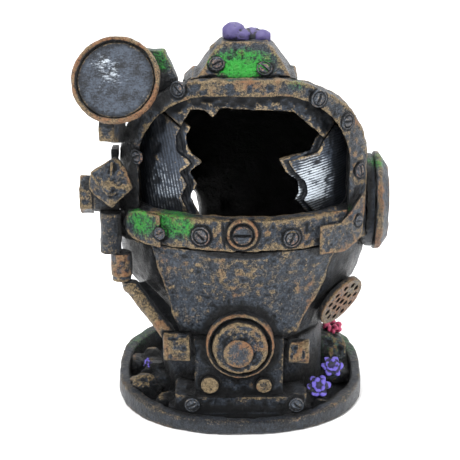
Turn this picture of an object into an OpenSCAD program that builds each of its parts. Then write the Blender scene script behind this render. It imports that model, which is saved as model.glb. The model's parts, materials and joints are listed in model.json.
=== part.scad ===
// Aquarium ornament: a cast resin diver's helmet on a shallow oval tray,
// with an air inlet at the back and an air stone inside the hollow helmet.
// Millimetres. Z is up, the window faces -Y, and the origin is the middle of
// the flat underside of the tray.

/* [Tray] */
// Width of the tray, side to side
base_w = 78; // [72:1:84]
// Depth of the tray, front to back
base_d = 73; // [70:1:78]
// Height of the tray's wall at the middle of its front
rim_front_h = 4.6; // [4:0.2:6]
// Height of the tray's wall at the middle of its back
rim_back_h = 11; // [9:0.2:11.6]
// Thickness of the tray's wall
rim_wall = 4; // [3:0.5:4.5]

/* [Helmet] */
// Wall thickness of the hollow helmet
shell_wall = 4; // [3:0.5:5]
// Radius of the swim-through hole at the rear left
swim_hole_r = 11; // [9:0.5:12]

/* [Window] */
// Radius of the curved face that carries the window frame
mask_r = 46; // [45:0.5:47]
// Thickness of the window frame's flange
flange_t = 4.5; // [4:0.5:5]
// Thickness of the broken window glass
glass_t = 4; // [3:0.5:4.5]

/* [Lamp] */
// Radius of the lamp's bezel
lamp_r = 12.8; // [12:0.2:13.4]
// Tilt of the lamp above level, in degrees
lamp_tilt = 27; // [20:1:32]

/* [Air line] */
// Radius of the spigot that takes 4 mm air tubing
spigot_r = 2.4; // [2.2:0.1:2.5]
// Radius of the air stone
stone_r = 7; // [5:0.5:8]
// Height of the air stone
stone_h = 21; // [15:1:24]

/* [Hidden] */

helm_x = 0.6;         // helmet's middle, side to side
helm_y = 3;           // helmet's middle, front to back
tray_floor = 2.8;
front_fullness = 2.1;
back_fullness = 2.7;
neck_r = 25.5;
neck_top = 24;
cavity_floor = 21;
pocket_r = 20;
fn_round = 96;
fn_loft = 44;
eps = 0.01;

// Outer sections of the helmet: height, half width, half depth, and how far
// the section's middle lies behind the helmet's own middle
SECTIONS = [[24, 25.5, 25.5, 0], [30, 28, 26.5, 0], [36, 32, 28.5, 0],
    [42, 36.4, 30.5, 0], [48, 38.3, 31.6, 0], [58, 38, 32.6, 0],
    [70, 38, 32.8, 0], [79, 37.2, 31.5, -0.8], [86, 34.6, 28.6, -2.4],
    [91, 30.6, 23.6, -6], [95, 26, 17.6, -10.6], [99, 20.6, 11, -15],
    [102, 13, 6, -17.6], [103.5, 6, 3, -18.6]];

// Curved front face: one upright axis that the window parts share
mask_y = 15;
flange_in = mask_r - flange_t;
glass_r = 40;

// Window arch: half widths are measured from the helmet's middle
arch_in_left = -30.8;
arch_in_right = 31.3;
arch_in_top = 102.4;
arch_in_r = 23;
band_w = 6.2;
frame_foot = 55;
bar_z0 = 56.6;
bar_z1 = 66.4;
bar_r = mask_r + 1;
plate_r = mask_r + 2.3;

block_y = -28;
block_x0 = -14;
block_x1 = 13;

clamp_x0 = -23.4;
reg_z = 26.8;
air_z = 17;
landing_y = 26;

// ---------------------------------------------------------------- helpers

// Outline of the tray: fuller at its back corners than at its front ones
function tray_outline(w, d, steps = 80) = [for (i = [0:steps - 1])
    let (a = 360 * i / steps, c = cos(a), s = sin(a),
         n = s < 0 ? front_fullness : back_fullness)
    [w / 2 * sign(c) * pow(abs(c), 2 / n),
     d / 2 * sign(s) * pow(abs(s), 2 / n)]];

// Puts children on the helmet's upright axis
module on_helmet() {
    translate([helm_x, helm_y, 0]) children();
}

// Cylinder along -Y, its back face at y_back
module forward_disc(x, z, r, y_back, length) {
    translate([x, y_back, z]) rotate([90, 0, 0])
        cylinder(r = r, h = length, $fn = fn_round);
}

// Cylinder along +X between two places
module cross_disc(x0, x1, y, z, r, sides = fn_round) {
    translate([x0, y, z]) rotate([0, 90, 0])
        cylinder(r = r, h = x1 - x0, $fn = sides);
}

// Round bar between two points
module bar_between(a, b, r) {
    d = b - a;
    len = norm(d);
    translate(a)
        rotate([0, acos(d[2] / len), atan2(d[1], d[0])])
            cylinder(r = r, h = len, $fn = 48);
}

// Upright cylinder on the axis of the curved front face
module mask_round(r, z0, z1) {
    translate([helm_x, mask_y, z0])
        cylinder(r = r, h = z1 - z0, $fn = fn_round * 2);
}

// A layer of the curved front face between two radii
module mask_layer(r_in, r_out, z0, z1) {
    difference() {
        mask_round(r_out, z0, z1);
        mask_round(r_in, z0 - 1, z1 + 1);
        translate([-80, mask_y - 8, z0 - 2]) cube([160, 90, z1 - z0 + 4]);
    }
}

// Solid arch seen from the front: straight sides, round shoulders
module arch(grow, foot, y0, y1) {
    r = arch_in_r + grow;
    x0 = helm_x + arch_in_left - grow;
    x1 = helm_x + arch_in_right + grow;
    top = arch_in_top + grow * 0.8;
    len = y1 - y0;
    translate([x0, y0, foot]) cube([x1 - x0, len, top - r - foot]);
    translate([x0 + r, y0, top - r - eps])
        cube([x1 - x0 - 2 * r, len, r + eps]);
    for (x = [x0 + r, x1 - r])
        translate([x, y1, top - r]) rotate([90, 0, 0])
            cylinder(r = r, h = len, $fn = fn_round);
}

// Points around one section of the helmet, made smaller by an inset and
// lowered by a drop
function ring(section, inset, drop) = [for (i = [0:fn_loft - 1])
    let (a = 360 * (i + 0.5) / fn_loft)
    [(section[1] - inset) * cos(a),
     section[3] + (section[2] - inset) * sin(a),
     section[0] - drop]];

// The helmet's outer form, or with an inset the form of its hollow, which
// runs out below the helmet
module helmet_form(inset = 0, last = len(SECTIONS) - 1) {
    n = fn_loft;
    floor_ring = [for (i = [0:n - 1]) i];
    top_ring = [for (i = [n - 1:-1:0]) last * n + i];
    sides = [for (j = [0:last - 1], i = [0:n - 1])
        let (a = j * n + i, b = j * n + (i + 1) % n)
        each [[a, a + n, b + n], [a, b + n, b]]];
    on_helmet() polyhedron(
        [for (j = [0:last])
            each ring(SECTIONS[j], inset, j == 0 ? inset : 0)],
        concat([floor_ring, top_ring], sides));
}

// What lies in front of the curved face, above the foot of the frame
module before_mask() {
    difference() {
        translate([-60, -60, frame_foot]) cube([120, 64, 70]);
        mask_round(flange_in, frame_foot - 1, 130);
    }
}

// ------------------------------------------------------------ tray and neck

module base_tray() {
    rise = rim_back_h - rim_front_h;
    color("#3b4048") difference() {
        linear_extrude(rim_back_h + 1)
            polygon(tray_outline(base_w, base_d));
        translate([0, 0, tray_floor]) linear_extrude(rim_back_h)
            polygon(tray_outline(base_w - 2 * rim_wall,
                base_d - 2 * rim_wall));
        translate([-base_w, -base_d / 2, rim_front_h])
            rotate([atan(rise / base_d), 0, 0])
                translate([0, -20, 0]) cube([2 * base_w, 2 * base_d, 30]);
    }
}

module neck_outer() {
    on_helmet() {
        translate([0, 0, tray_floor]) cylinder(r = 27.5, h = 2.2,
            $fn = fn_round);
        translate([0, 0, tray_floor + 2.2])
            cylinder(r = neck_r, h = neck_top - tray_floor - 2.2,
                $fn = fn_round);
    }
}

module neck() {
    channel_r = 2.7;
    color("#2e3238") difference() {
        neck_outer();
        on_helmet() translate([0, 0, cavity_floor])
            cylinder(r = pocket_r, h = 10, $fn = fn_round);
        // flat landing and seat for the inlet grommet
        translate([helm_x - 8, landing_y, 10]) cube([16, 10, 13]);
        translate([helm_x, landing_y + 1, air_z]) rotate([90, 0, 0])
            cylinder(r = 4.5, h = 6, $fn = fn_round);
        // channel forward and up to the pocket
        translate([helm_x, landing_y, air_z]) rotate([90, 0, 0])
            cylinder(r = channel_r, h = landing_y - helm_y, $fn = fn_round);
        translate([helm_x, helm_y, air_z - channel_r])
            cylinder(r = channel_r, h = 12, $fn = fn_round);
    }
}

module front_block() {
    color("#343840") difference() {
        inside_tray() union() {
            translate([block_x0, block_y, 10])
                cube([block_x1 - block_x0, 20, 18]);
            translate([-20, -30, 5]) cube([40, 20, 5]);
            translate([-22, -31, tray_floor]) cube([44, 20, 2.2]);
        }
        neck_outer();
        // the helmet's chin rests on the top of the neck here
        translate([-30, -23.8, neck_top]) cube([60, 30, 10]);
    }
}

// ------------------------------------------------------------------ helmet

module helmet_shell() {
    swim_at = [-24, 27, 51];
    color("#2b2f35") difference() {
        helmet_form();
        helmet_form(shell_wall, len(SECTIONS) - 4);
        hood_hollow();
        before_mask();
        translate(swim_at) rotate([-90, 0, 30]) translate([0, 0, -16])
            cylinder(r = swim_hole_r, h = 40, $fn = 48);
        // seats of the side port and the exhaust
        side_port_axis() translate([0, 0, -6])
            cylinder(r = 9, h = 20, $fn = 48);
    }
}

// Tapered form from a curved face of radius face_r, grown by front_grow
// around the window, back to a smaller arch inside the helmet
module tapered_arch(front_grow, foot, face_r) {
    taper = 14.2;
    hull() {
        intersection() {
            mask_layer(face_r - 3, face_r, foot, 120);
            arch(front_grow, foot, -60, 4);
        }
        arch(front_grow - taper, foot, 3, 4);
    }
}

module hood_form() {
    tapered_arch(band_w - 1, frame_foot, flange_in);
}

module hood_hollow() {
    tapered_arch(0, bar_z1, flange_in + 1);
}

// Housing that tapers back from the curved frame to the round helmet
module window_hood() {
    color("#30343a") difference() {
        hood_form();
        hood_hollow();
        helmet_form();
    }
}

// The frame before its window is cut, from an inner radius outwards
module frame_blank(r_in) {
    intersection() {
        mask_layer(r_in, mask_r, frame_foot, 120);
        arch(band_w, frame_foot, -60, 10);
    }
}

module window_frame() {
    color("#4a4640") difference() {
        frame_blank(flange_in);
        arch(0, frame_foot - 1, -61, 11);
    }
}

// Screw head on the curved face at an angle from straight ahead
module mask_screw(angle, z, r, r_seat, proud) {
    translate([helm_x, mask_y, z]) rotate([90, 0, angle])
        translate([0, 0, r_seat]) difference() {
            cylinder(r = r, h = proud, $fn = 48);
            translate([-r, -0.35, proud - 0.5]) cube([2 * r, 0.7, 1]);
        }
}

module frame_screws() {
    // angle from straight ahead, height and head radius
    heads = [[-43, 82, 2.3], [-24, 104, 2.4], [28, 101, 2.6],
        [41.5, 92.8, 2.4], [49.4, 76.8, 2.3]];
    color("#26292e")
        for (h = heads) mask_screw(h[0], h[1], h[2], mask_r - 0.6, 1.1);
}

// --------------------------------------------------------------- lower bar

module lower_bar() {
    color("#3c3d3e") intersection() {
        mask_layer(flange_in, bar_r, bar_z0, bar_z1);
        translate([helm_x + arch_in_left, -60, 0])
            cube([arch_in_right - arch_in_left, 100, 100]);
    }
}

module end_plate(points) {
    difference() {
        intersection() {
            mask_layer(mask_r, plate_r, 50, 75);
            rotate([90, 0, 0]) linear_extrude(60) polygon(points);
        }
        lower_bar();
    }
}

module bar_left_end() {
    color("#2f7d35") end_plate([[-23.6, 56.4], [-23.6, 66.2], [-30, 66.6],
        [-33.5, 65.4], [-35.3, 61], [-33.6, 57.6], [-29, 56.4]]);
}

module bar_right_end() {
    color("#8a5a34") end_plate([[23, 54.4], [23, 63.4], [29.5, 63.2],
        [33, 66.5], [36, 70], [37.3, 68.5], [36.6, 57], [31, 53.6]]);
}

module bar_rivets() {
    color("#26292e") {
        mask_screw(-15.2, 61.2, 2.9, bar_r - 0.6, 1.2);
        mask_screw(17.6, 60.4, 2.7, bar_r - 0.6, 1.2);
        mask_screw(-30.5, 60.8, 1.9, plate_r - 0.6, 1);
        mask_screw(45.8, 62.2, 1.7, plate_r - 0.6, 1);
    }
}

module centre_screw() {
    color("#a8703c") translate([helm_x - 0.2, mask_y - bar_r + 0.5, 62.3])
        rotate([90, 0, 0]) {
            difference() {
                cylinder(r = 4.6, h = 1.9, $fn = 64);
                translate([0, 0, 1.2]) cylinder(r = 3.2, h = 1, $fn = 64);
            }
            translate([0, 0, 1.2]) difference() {
                cylinder(r = 2.9, h = 1.1, $fn = 64);
                translate([-3, -0.4, 0.6]) cube([6, 0.8, 1]);
            }
        }
}

// ------------------------------------------------------------ broken glass

// Ragged piece of the curved pane, given by its outline from the front. The
// back half of its thickness stands further into the opening than the front.
module shard(points, back_shift) {
    middle = glass_r - glass_t / 2;
    for (layer = [[middle, glass_r, 0],
                  [glass_r - glass_t, middle, back_shift]])
        intersection() {
            mask_layer(layer[0], layer[1], 50, 110);
            translate([layer[2], 0, 0]) rotate([90, 0, 0])
                linear_extrude(60) polygon(points);
            arch(0.3, frame_foot, -60, 20);
        }
}

module glass_left() {
    color("#8d929a") shard([[-36, 57], [-36, 90], [-24, 96], [-17.5, 91],
        [-18.8, 88.4], [-18.4, 84], [-14.4, 80.6], [-17.8, 77.6],
        [-15.8, 74], [-17.6, 70], [-14.6, 63.6], [-13.4, 57]], 3);
}

module glass_right() {
    color("#aeb3bb") shard([[36, 57], [36, 88], [27.5, 90.5], [24.2, 86.5],
        [22.8, 83.2], [13.6, 81.8], [15.6, 78], [18.8, 74.6], [19.6, 71],
        [18.4, 69], [22, 64.8], [24.4, 57], [33, 57]], -2.5);
}

module glass_top() {
    color("#565b63") difference() {
        shard([[-24, 96], [-21, 105], [24, 105], [28, 90.5], [24.6, 87],
            [20.4, 91], [15, 96.2], [0, 97.4], [-6, 97.8], [-8.2, 94.6],
            [-10.6, 96.8], [-14.6, 97], [-17.5, 91.2]], 0);
        glass_left();
        glass_right();
    }
}

// ------------------------------------------------------------------- crown

module crown_cap() {
    color("#3f4a3a") difference() {
        union() {
            crown_shoulder();
            crown_peak();
        }
        helmet_form();
        hood_form();
        frame_blank(flange_in - 1);
        arch(0, 80, -60, 20);
    }
}

module crown_shoulder() {
    hull() {
        translate([-17, -26, 99]) cube([33.5, 18, 5.6]);
        translate([-14, -26, 99]) cube([30, 18, 8]);
    }
}

module crown_peak() {
    hull() {
        translate([-13.6, -27, 99]) cube([29.2, 22, 6.5]);
        translate([-10.6, -23.5, 99]) cube([22.6, 18.5, 10.5]);
        translate([-8, -20, 99]) cube([17.8, 14, 14.8]);
        translate([-5.2, -18, 99]) cube([12.8, 10, 17]);
    }
}

module crown_screws() {
    color("#26292e")
        for (at = [[-7, -22.8, 110.4], [6.6, -23.7, 109.2]])
            translate(at) rotate([50, 0, 0]) translate([0, 0, -0.8])
                cylinder(r = 2.3, h = 1.5, $fn = 48);
}

module crown_corals() {
    color("#5a4a86") {
        translate([-2.6, -12, 117.5]) sphere(r = 2.9, $fn = 48);
        translate([2.2, -10, 116.3]) sphere(r = 2.2, $fn = 48);
        translate([6.4, -11.4, 115.5]) sphere(r = 2.2, $fn = 48);
    }
}

// --------------------------------------------------------------- chin panel

module chin_panel() {
    color("#54504a") difference() {
        intersection() {
            rotate([90, 0, 0]) linear_extrude(60)
                polygon([[-27.5, 56.5], [28.5, 56.5], [25.5, 45],
                    [18.5, 32], [17, 28], [-18.5, 28], [-20.5, 33]]);
            translate([helm_x, mask_y, 28]) {
                hull() {
                    cylinder(r = 42, h = 0.1, $fn = fn_round);
                    translate([0, 0, 9.4]) cylinder(r = 42.9, h = 0.1,
                        $fn = fn_round);
                }
                translate([0, 0, 9.4]) hull() {
                    cylinder(r = 42.9, h = 0.1, $fn = fn_round);
                    translate([0, 0, 19]) cylinder(r = 46.4, h = 0.1,
                        $fn = fn_round);
                }
            }
        }
        helmet_form();
        translate([-40, -18, 20]) cube([80, 60, 50]);
        left_clamp();
        bar_left_end();
        bar_right_end();
    }
}

// -------------------------------------------------------------------- lamp

// Frame of the lamp: +Z is the way it looks, the origin is its bezel
module lamp_axis() {
    translate([-35.6, -28, 107]) rotate([90 - lamp_tilt, 0, -6])
        children();
}

module lamp_housing() {
    color("#33373d") lamp_axis() {
        translate([0, 0, -2.6]) cylinder(r = lamp_r - 0.6, h = 1.6,
            $fn = fn_round);
        translate([0, 0, -4.6])
            cylinder(r1 = lamp_r - 2.4, r2 = lamp_r - 0.9, h = 2,
                $fn = fn_round);
        translate([0, 0, -6.6])
            cylinder(r = 8, h = 2, $fn = fn_round);
    }
}

module lamp_bezel() {
    color("#9a6a3c") lamp_axis() difference() {
        translate([0, 0, -1]) cylinder(r = lamp_r, h = 2.2,
            $fn = fn_round);
        translate([0, 0, -2])
            cylinder(r = lamp_r - 1.7, h = 4, $fn = fn_round);
    }
}

module lamp_lens() {
    color("#9aa0a8") lamp_axis() translate([0, 0, -1])
        cylinder(r = lamp_r - 1.7, h = 1.2, $fn = fn_round);
}

module lamp_upper_lug() {
    color("#35493a") hull() {
        translate([-28, -21, 106]) cube([6, 4.4, 8]);
        translate([-26.5, -23, 101.5]) cube([8.4, 7, 4.6]);
    }
}

module lamp_lower_lug() {
    color("#5c4a36") hull() {
        translate([-41, -27, 88.6]) cube([4.6, 7, 9]);
        translate([frame_side - 2.6, -13, 84.6]) cube([4.6, 6, 7]);
    }
}

// --------------------------------------------------------------- regulator

module regulator_ring() {
    color("#6b5334") difference() {
        forward_disc(-0.2, reg_z, 10.3, block_y, 3.6);
        forward_disc(-0.2, reg_z, 8.9, block_y + 1, 6);
    }
}

module regulator_cover() {
    color("#5c5346") {
        forward_disc(-0.2, reg_z, 8.3, block_y, 4);
        translate([-0.2, block_y - 4, reg_z]) rotate([90, 0, 0])
            cylinder(r1 = 8.3, r2 = 7.4, h = 0.8, $fn = fn_round);
    }
}

module purge_button() {
    color("#4a515b") forward_disc(-0.7, reg_z - 1.4, 4.6, block_y - 4.8, 1);
}

module left_clamp() {
    color("#8a6b42") {
        cross_disc(clamp_x0, block_x0 - 1, -24, 24, 4.8, 8);
        cross_disc(block_x0 - 1, block_x0, -24, 24, 3, 48);
    }
}

module right_clamp() {
    color("#8a6b42") {
        cross_disc(block_x1 + 1, 20.8, -24, 22.4, 3.9);
        cross_disc(block_x1, block_x1 + 1, -24, 22.4, 2.6, 48);
    }
}

module block_pegs() {
    color("#a58a54") {
        forward_disc(-9.3, 13.6, 2.7, block_y, 1.8);
        forward_disc(7, 13.4, 2.4, block_y, 1.6);
    }
}

module base_rivets() {
    color("#2c2f33") {
        forward_disc(-14.6, 7.5, 2.3, -30, 0.9);
        forward_disc(16.8, 7.5, 2.3, -30, 0.9);
    }
}

// ------------------------------------------------------- valve and its pipe

pipe_at = [-39, -16];
union_at = [-36, -16];
frame_side = helm_x + arch_in_left - band_w;

module valve_body() {
    color("#3b3d40") difference() {
        cross_disc(-44, frame_side, -12, 69, 6);
        translate([pipe_at[0], pipe_at[1], 50])
            cylinder(r = 3.3, h = 14.5, $fn = fn_round);
    }
}

module valve_cap() {
    color("#55503f") difference() {
        hull() {
            translate([-36.9, -17.5, 81]) sphere(r = 0.8, $fn = 16);
            translate([-43.8, -17, 76.4]) sphere(r = 0.8, $fn = 16);
            translate([-44.6, -17, 71.4]) sphere(r = 0.8, $fn = 16);
            translate([-38.2, -20.4, 67.6]) sphere(r = 0.8, $fn = 16);
            translate([-39, -22, 74.2]) sphere(r = 0.9, $fn = 16);
            translate([-32.6, -20.6, 73]) sphere(r = 0.8, $fn = 16);
            translate([-34.4, -19, 78.2]) sphere(r = 0.8, $fn = 16);
        }
        cross_disc(-60, -20, -12, 69, 6);
        mask_round(mask_r, 50, 100);
    }
}

module valve_knob() {
    color("#4f4a40") cross_disc(-48.2, -44, -12, 68.4, 6.1, 6);
}

module side_lug() {
    color("#3b3d40") translate([frame_side - 2.2, -14, 79])
        cube([2.2, 6, 4]);
}

module down_pipe() {
    color("#33373c") {
        translate([pipe_at[0], pipe_at[1], 51.6])
            cylinder(r = 3.3, h = 12.9, $fn = fn_round);
        translate([pipe_at[0], pipe_at[1] + 1, 51.6])
            cube([frame_side - pipe_at[0], 5.6, 10.6]);
    }
}

module pipe_union() {
    color("#6a4a34") translate([union_at[0], union_at[1], 42.4]) {
        translate([0, 0, 2]) cylinder(r = 3.3, h = 7.2, $fn = fn_round);
        cylinder(r = 2.9, h = 2, $fn = fn_round);
    }
}

module diagonal_tube() {
    tube_r = 2.3;
    knee = [-33.3, -16, 40.6];
    foot = [-19.6, -22.6, 24.4];
    color("#6b6048") difference() {
        union() {
            bar_between(foot, knee, tube_r);
            translate(knee) sphere(r = tube_r + 0.3, $fn = 48);
            bar_between(knee, [union_at[0] + 0.6, union_at[1], 46], tube_r);
            hull() {
                bar_between(foot, knee, 0.9);
                bar_between(foot + [5, 6, 1], knee + [8, 4, 1], 0.9);
            }
        }
        translate([-60, -40, 42.4]) cube([50, 50, 10]);
        cross_disc(clamp_x0, block_x0, -24, 24, 4.8, 8);
        neck_outer();
        helmet_form();
        chin_panel();
    }
}

// --------------------------------------------------------------- side port

// Frame of the port on the right: +Z points out of it, from its middle
module side_port_axis() {
    translate([38.6, helm_y, 62.2]) rotate([0, 90, 0]) children();
}

module side_port_neck() {
    color("#26292e") difference() {
        side_port_axis() translate([0, 0, -6])
            cylinder(r = 14.6, h = 8.4, $fn = fn_round);
        helmet_form();
        window_frame();
        side_port_axis() translate([0, 0, -8])
            cylinder(r = 9.2, h = 20, $fn = fn_round);
    }
}

module side_port_ring() {
    color("#6e4c34") side_port_axis() difference() {
        union() {
            translate([0, 0, 2.4]) cylinder(r = 15.3, h = 1.8,
                $fn = fn_round);
            translate([0, 0, 4.2])
                cylinder(r1 = 15.3, r2 = 11.8, h = 2.6, $fn = fn_round);
        }
        translate([0, 0, 2]) cylinder(r = 9.2, h = 8, $fn = fn_round);
        translate([0, 0, 4.4]) cylinder(r = 10.6, h = 8, $fn = fn_round);
    }
}

module side_port_glass() {
    color("#7f858d") side_port_axis() translate([0, 0, 4.4])
        cylinder(r = 10.6, h = 1.6, $fn = fn_round);
}

// ----------------------------------------------------------------- exhaust

// Frame of the exhaust on the lower right: +Z points out of its plate
module exhaust_axis() {
    translate([30, -10.4, 34.6]) rotate([0, 116.7, -41.1]) children();
}

module exhaust_neck() {
    color("#1f2226") difference() {
        exhaust_axis() translate([0, 0, -12])
            cylinder(r = 7.4, h = 12, $fn = 48);
        helmet_form();
        neck_outer();
    }
}

module exhaust_plate() {
    hole_r = 0.85;
    color("#9a6238") exhaust_axis() difference() {
        cylinder(r = 8.8, h = 2, $fn = fn_round);
        translate([0, 0, -1]) cylinder(r = hole_r, h = 5, $fn = 24);
        for (ring = [[3.1, 6], [6.2, 11]], i = [1:ring[1]])
            rotate(i * 360 / ring[1]) translate([ring[0], 0, -1])
                cylinder(r = hole_r, h = 5, $fn = 24);
    }
}

// ------------------------------------------------------ growth in the tray

module inside_tray() {
    intersection() {
        translate([0, 0, tray_floor]) linear_extrude(40)
            polygon(tray_outline(base_w - 2 * rim_wall,
                base_d - 2 * rim_wall));
        children();
    }
}

module weed_mound() {
    color("#3c5a3a") difference() {
        inside_tray() union() {
            translate([26, 15, 1]) sphere(r = 14, $fn = 48);
            translate([30, 3, 0]) sphere(r = 8, $fn = 48);
            translate([17, 26, 0]) sphere(r = 9, $fn = 48);
        }
        neck_outer();
        translate([-50, -50, neck_top - 8]) cube(100);
    }
}

module tray_rocks() {
    // place on the tray, radius and sink below the floor
    stones = [[-29.5, -6, 4.6], [-26.5, -13.5, 3.6], [-22.6, -19.5, 2.8],
        [-31, 8, 5], [24, -21, 2.6]];
    color("#34383d") difference() {
        inside_tray() union()
            for (s = stones)
                translate([s[0], s[1], tray_floor + s[2] * 0.4])
                    sphere(r = s[2], $fn = 32);
        neck_outer();
        front_block();
    }
}

module flower(x, y, z, r) {
    translate([x, y, z]) {
        cylinder(r1 = r * 0.4, r2 = r, h = r, $fn = 24);
        translate([0, 0, r]) cylinder(r1 = r, r2 = r * 0.3, h = r * 0.5,
            $fn = 24);
    }
}

module purple_flowers() {
    color("#6a58b8") {
        flower(28.6, -12, 9.4, 3.7);
        flower(24, -18.6, 5.4, 4);
    }
}

module purple_bud() {
    color("#6a58b8") flower(-29.5, -5, 9, 1.9);
}

module pink_coral() {
    color("#d8587a") {
        translate([31.6, 13.6, 14.4]) sphere(r = 2.2, $fn = 48);
        translate([28.8, 16.6, 15.2]) sphere(r = 1.8, $fn = 48);
    }
}

// ---------------------------------------------------------------- air line

module inlet_grommet() {
    color("#4c5056") translate([helm_x, 0, air_z]) rotate([-90, 0, 0])
        difference() {
            union() {
                translate([0, 0, 21]) cylinder(r = 4.5, h = 5,
                    $fn = fn_round);
                translate([0, 0, 26]) cylinder(r = 5.6, h = 1.2,
                    $fn = fn_round);
            }
            translate([0, 0, 20])
                cylinder(r = spigot_r + 0.06, h = 9, $fn = fn_round);
        }
}

module air_connector() {
    color("#d8dadc") translate([helm_x, 0, air_z]) rotate([-90, 0, 0])
        difference() {
            union() {
                translate([0, 0, 21.4]) cylinder(r = spigot_r, h = 16,
                    $fn = fn_round);
                translate([0, 0, 37.4])
                    cylinder(r1 = spigot_r, r2 = spigot_r - 0.6, h = 1,
                        $fn = fn_round);
                translate([0, 0, 27.25]) cylinder(r = 3.9, h = 1.4,
                    $fn = fn_round);
            }
            translate([0, 0, 20]) cylinder(r = 1.3, h = 20,
                $fn = fn_round);
        }
}

module air_elbow() {
    tube_r = 2.6;
    bore_r = 1.3;
    color("#c9ccd0") difference() {
        union() {
            translate([helm_x, 20.6, air_z]) rotate([90, 0, 0])
                cylinder(r = tube_r, h = 20.6 - helm_y, $fn = fn_round);
            translate([helm_x, helm_y, air_z])
                sphere(r = tube_r, $fn = fn_round);
            translate([helm_x, helm_y, air_z])
                cylinder(r = tube_r, h = 7, $fn = fn_round);
            translate([helm_x, helm_y, air_z + 7])
                cylinder(r = 2, h = 4.4, $fn = fn_round);
        }
        translate([helm_x, 25, air_z]) rotate([90, 0, 0])
            cylinder(r = bore_r, h = 25 - helm_y, $fn = fn_round);
        translate([helm_x, helm_y, air_z])
            sphere(r = bore_r, $fn = fn_round);
        translate([helm_x, helm_y, air_z])
            cylinder(r = bore_r, h = 20, $fn = fn_round);
    }
}

module air_stone() {
    foot = air_z + 7.1;
    color("#8fa6b8") translate([helm_x, helm_y, foot]) difference() {
        union() {
            cylinder(r = 3.4, h = 2, $fn = fn_round);
            translate([0, 0, 2]) cylinder(r = stone_r, h = stone_h,
                $fn = fn_round);
        }
        translate([0, 0, -1])
            cylinder(r = 2.06, h = 7, $fn = fn_round);
    }
}

base_tray();
neck();
front_block();
helmet_shell();
window_hood();
window_frame();
frame_screws();
lower_bar();
bar_left_end();
bar_right_end();
bar_rivets();
centre_screw();
glass_left();
glass_right();
glass_top();
crown_cap();
crown_screws();
crown_corals();
chin_panel();
lamp_housing();
lamp_bezel();
lamp_lens();
lamp_upper_lug();
lamp_lower_lug();
regulator_ring();
regulator_cover();
purge_button();
left_clamp();
right_clamp();
block_pegs();
base_rivets();
valve_body();
valve_cap();
valve_knob();
side_lug();
down_pipe();
pipe_union();
diagonal_tube();
side_port_neck();
side_port_ring();
side_port_glass();
exhaust_neck();
exhaust_plate();
weed_mound();
tray_rocks();
purple_flowers();
purple_bud();
pink_coral();
inlet_grommet();
air_connector();
air_elbow();
air_stone();
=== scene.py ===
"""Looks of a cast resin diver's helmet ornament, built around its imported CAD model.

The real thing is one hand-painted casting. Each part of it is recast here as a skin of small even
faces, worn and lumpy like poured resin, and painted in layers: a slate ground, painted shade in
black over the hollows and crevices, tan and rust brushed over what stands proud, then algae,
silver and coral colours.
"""
import json
import logging
import math
from dataclasses import dataclass, field
from enum import Enum
from typing import Iterator, Optional, Protocol, Sequence, Union

import bmesh
import bpy
import numpy as np
from mathutils import Matrix, Vector
from mathutils.bvhtree import BVHTree

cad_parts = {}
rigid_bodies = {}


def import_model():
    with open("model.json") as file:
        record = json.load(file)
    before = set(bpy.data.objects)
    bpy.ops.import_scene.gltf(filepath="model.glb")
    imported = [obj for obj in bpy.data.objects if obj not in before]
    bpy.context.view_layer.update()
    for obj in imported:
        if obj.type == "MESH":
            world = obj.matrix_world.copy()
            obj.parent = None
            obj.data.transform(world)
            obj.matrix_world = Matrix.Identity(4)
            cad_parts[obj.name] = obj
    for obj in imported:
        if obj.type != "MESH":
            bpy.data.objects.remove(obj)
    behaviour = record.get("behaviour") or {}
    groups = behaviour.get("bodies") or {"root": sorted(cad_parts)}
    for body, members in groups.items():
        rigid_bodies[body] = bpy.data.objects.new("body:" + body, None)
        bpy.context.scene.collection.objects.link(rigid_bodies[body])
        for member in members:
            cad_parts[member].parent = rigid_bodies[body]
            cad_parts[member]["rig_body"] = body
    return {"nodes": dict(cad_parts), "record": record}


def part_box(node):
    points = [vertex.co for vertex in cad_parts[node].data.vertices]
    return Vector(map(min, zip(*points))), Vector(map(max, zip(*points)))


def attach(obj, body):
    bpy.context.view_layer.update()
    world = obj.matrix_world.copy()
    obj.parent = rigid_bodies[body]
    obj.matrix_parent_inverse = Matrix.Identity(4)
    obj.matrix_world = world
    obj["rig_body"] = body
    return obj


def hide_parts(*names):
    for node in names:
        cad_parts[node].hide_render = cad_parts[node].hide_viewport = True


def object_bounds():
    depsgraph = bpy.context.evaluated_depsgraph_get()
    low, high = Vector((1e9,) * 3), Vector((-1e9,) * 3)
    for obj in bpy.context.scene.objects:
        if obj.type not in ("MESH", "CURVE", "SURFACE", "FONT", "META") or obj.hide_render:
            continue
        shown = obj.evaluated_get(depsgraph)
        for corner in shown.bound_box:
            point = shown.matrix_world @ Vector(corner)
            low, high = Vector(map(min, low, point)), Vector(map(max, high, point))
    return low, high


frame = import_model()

CAD_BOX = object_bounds()
MM = 0.001                       # shapes are worked in millimetres and finished in metres
CRUMB = 60                       # a loose part with fewer corners is a leftover of a cut
log = logging.getLogger("helmet")
Colour = tuple[float, float, float, float]
Value = Union["Wire", float, tuple]
Pairs = Sequence[tuple[float, float]]


def rgb(red: int, green: int, blue: int) -> Colour:
    """Linear colour of a paint mixed in 8-bit steps.

    Args:
        red, green, blue: amounts from 0 to 255.

    Returns:
        The colour as a shader takes it.
    """
    def linear(step: int) -> float:
        """One channel without its display curve."""
        share = step / 255
        return share / 12.92 if share <= 0.04045 else ((share + 0.055) / 1.055) ** 2.4
    return (linear(red), linear(green), linear(blue), 1.0)


# ------------------------------------------------------------------ shader maths

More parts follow.
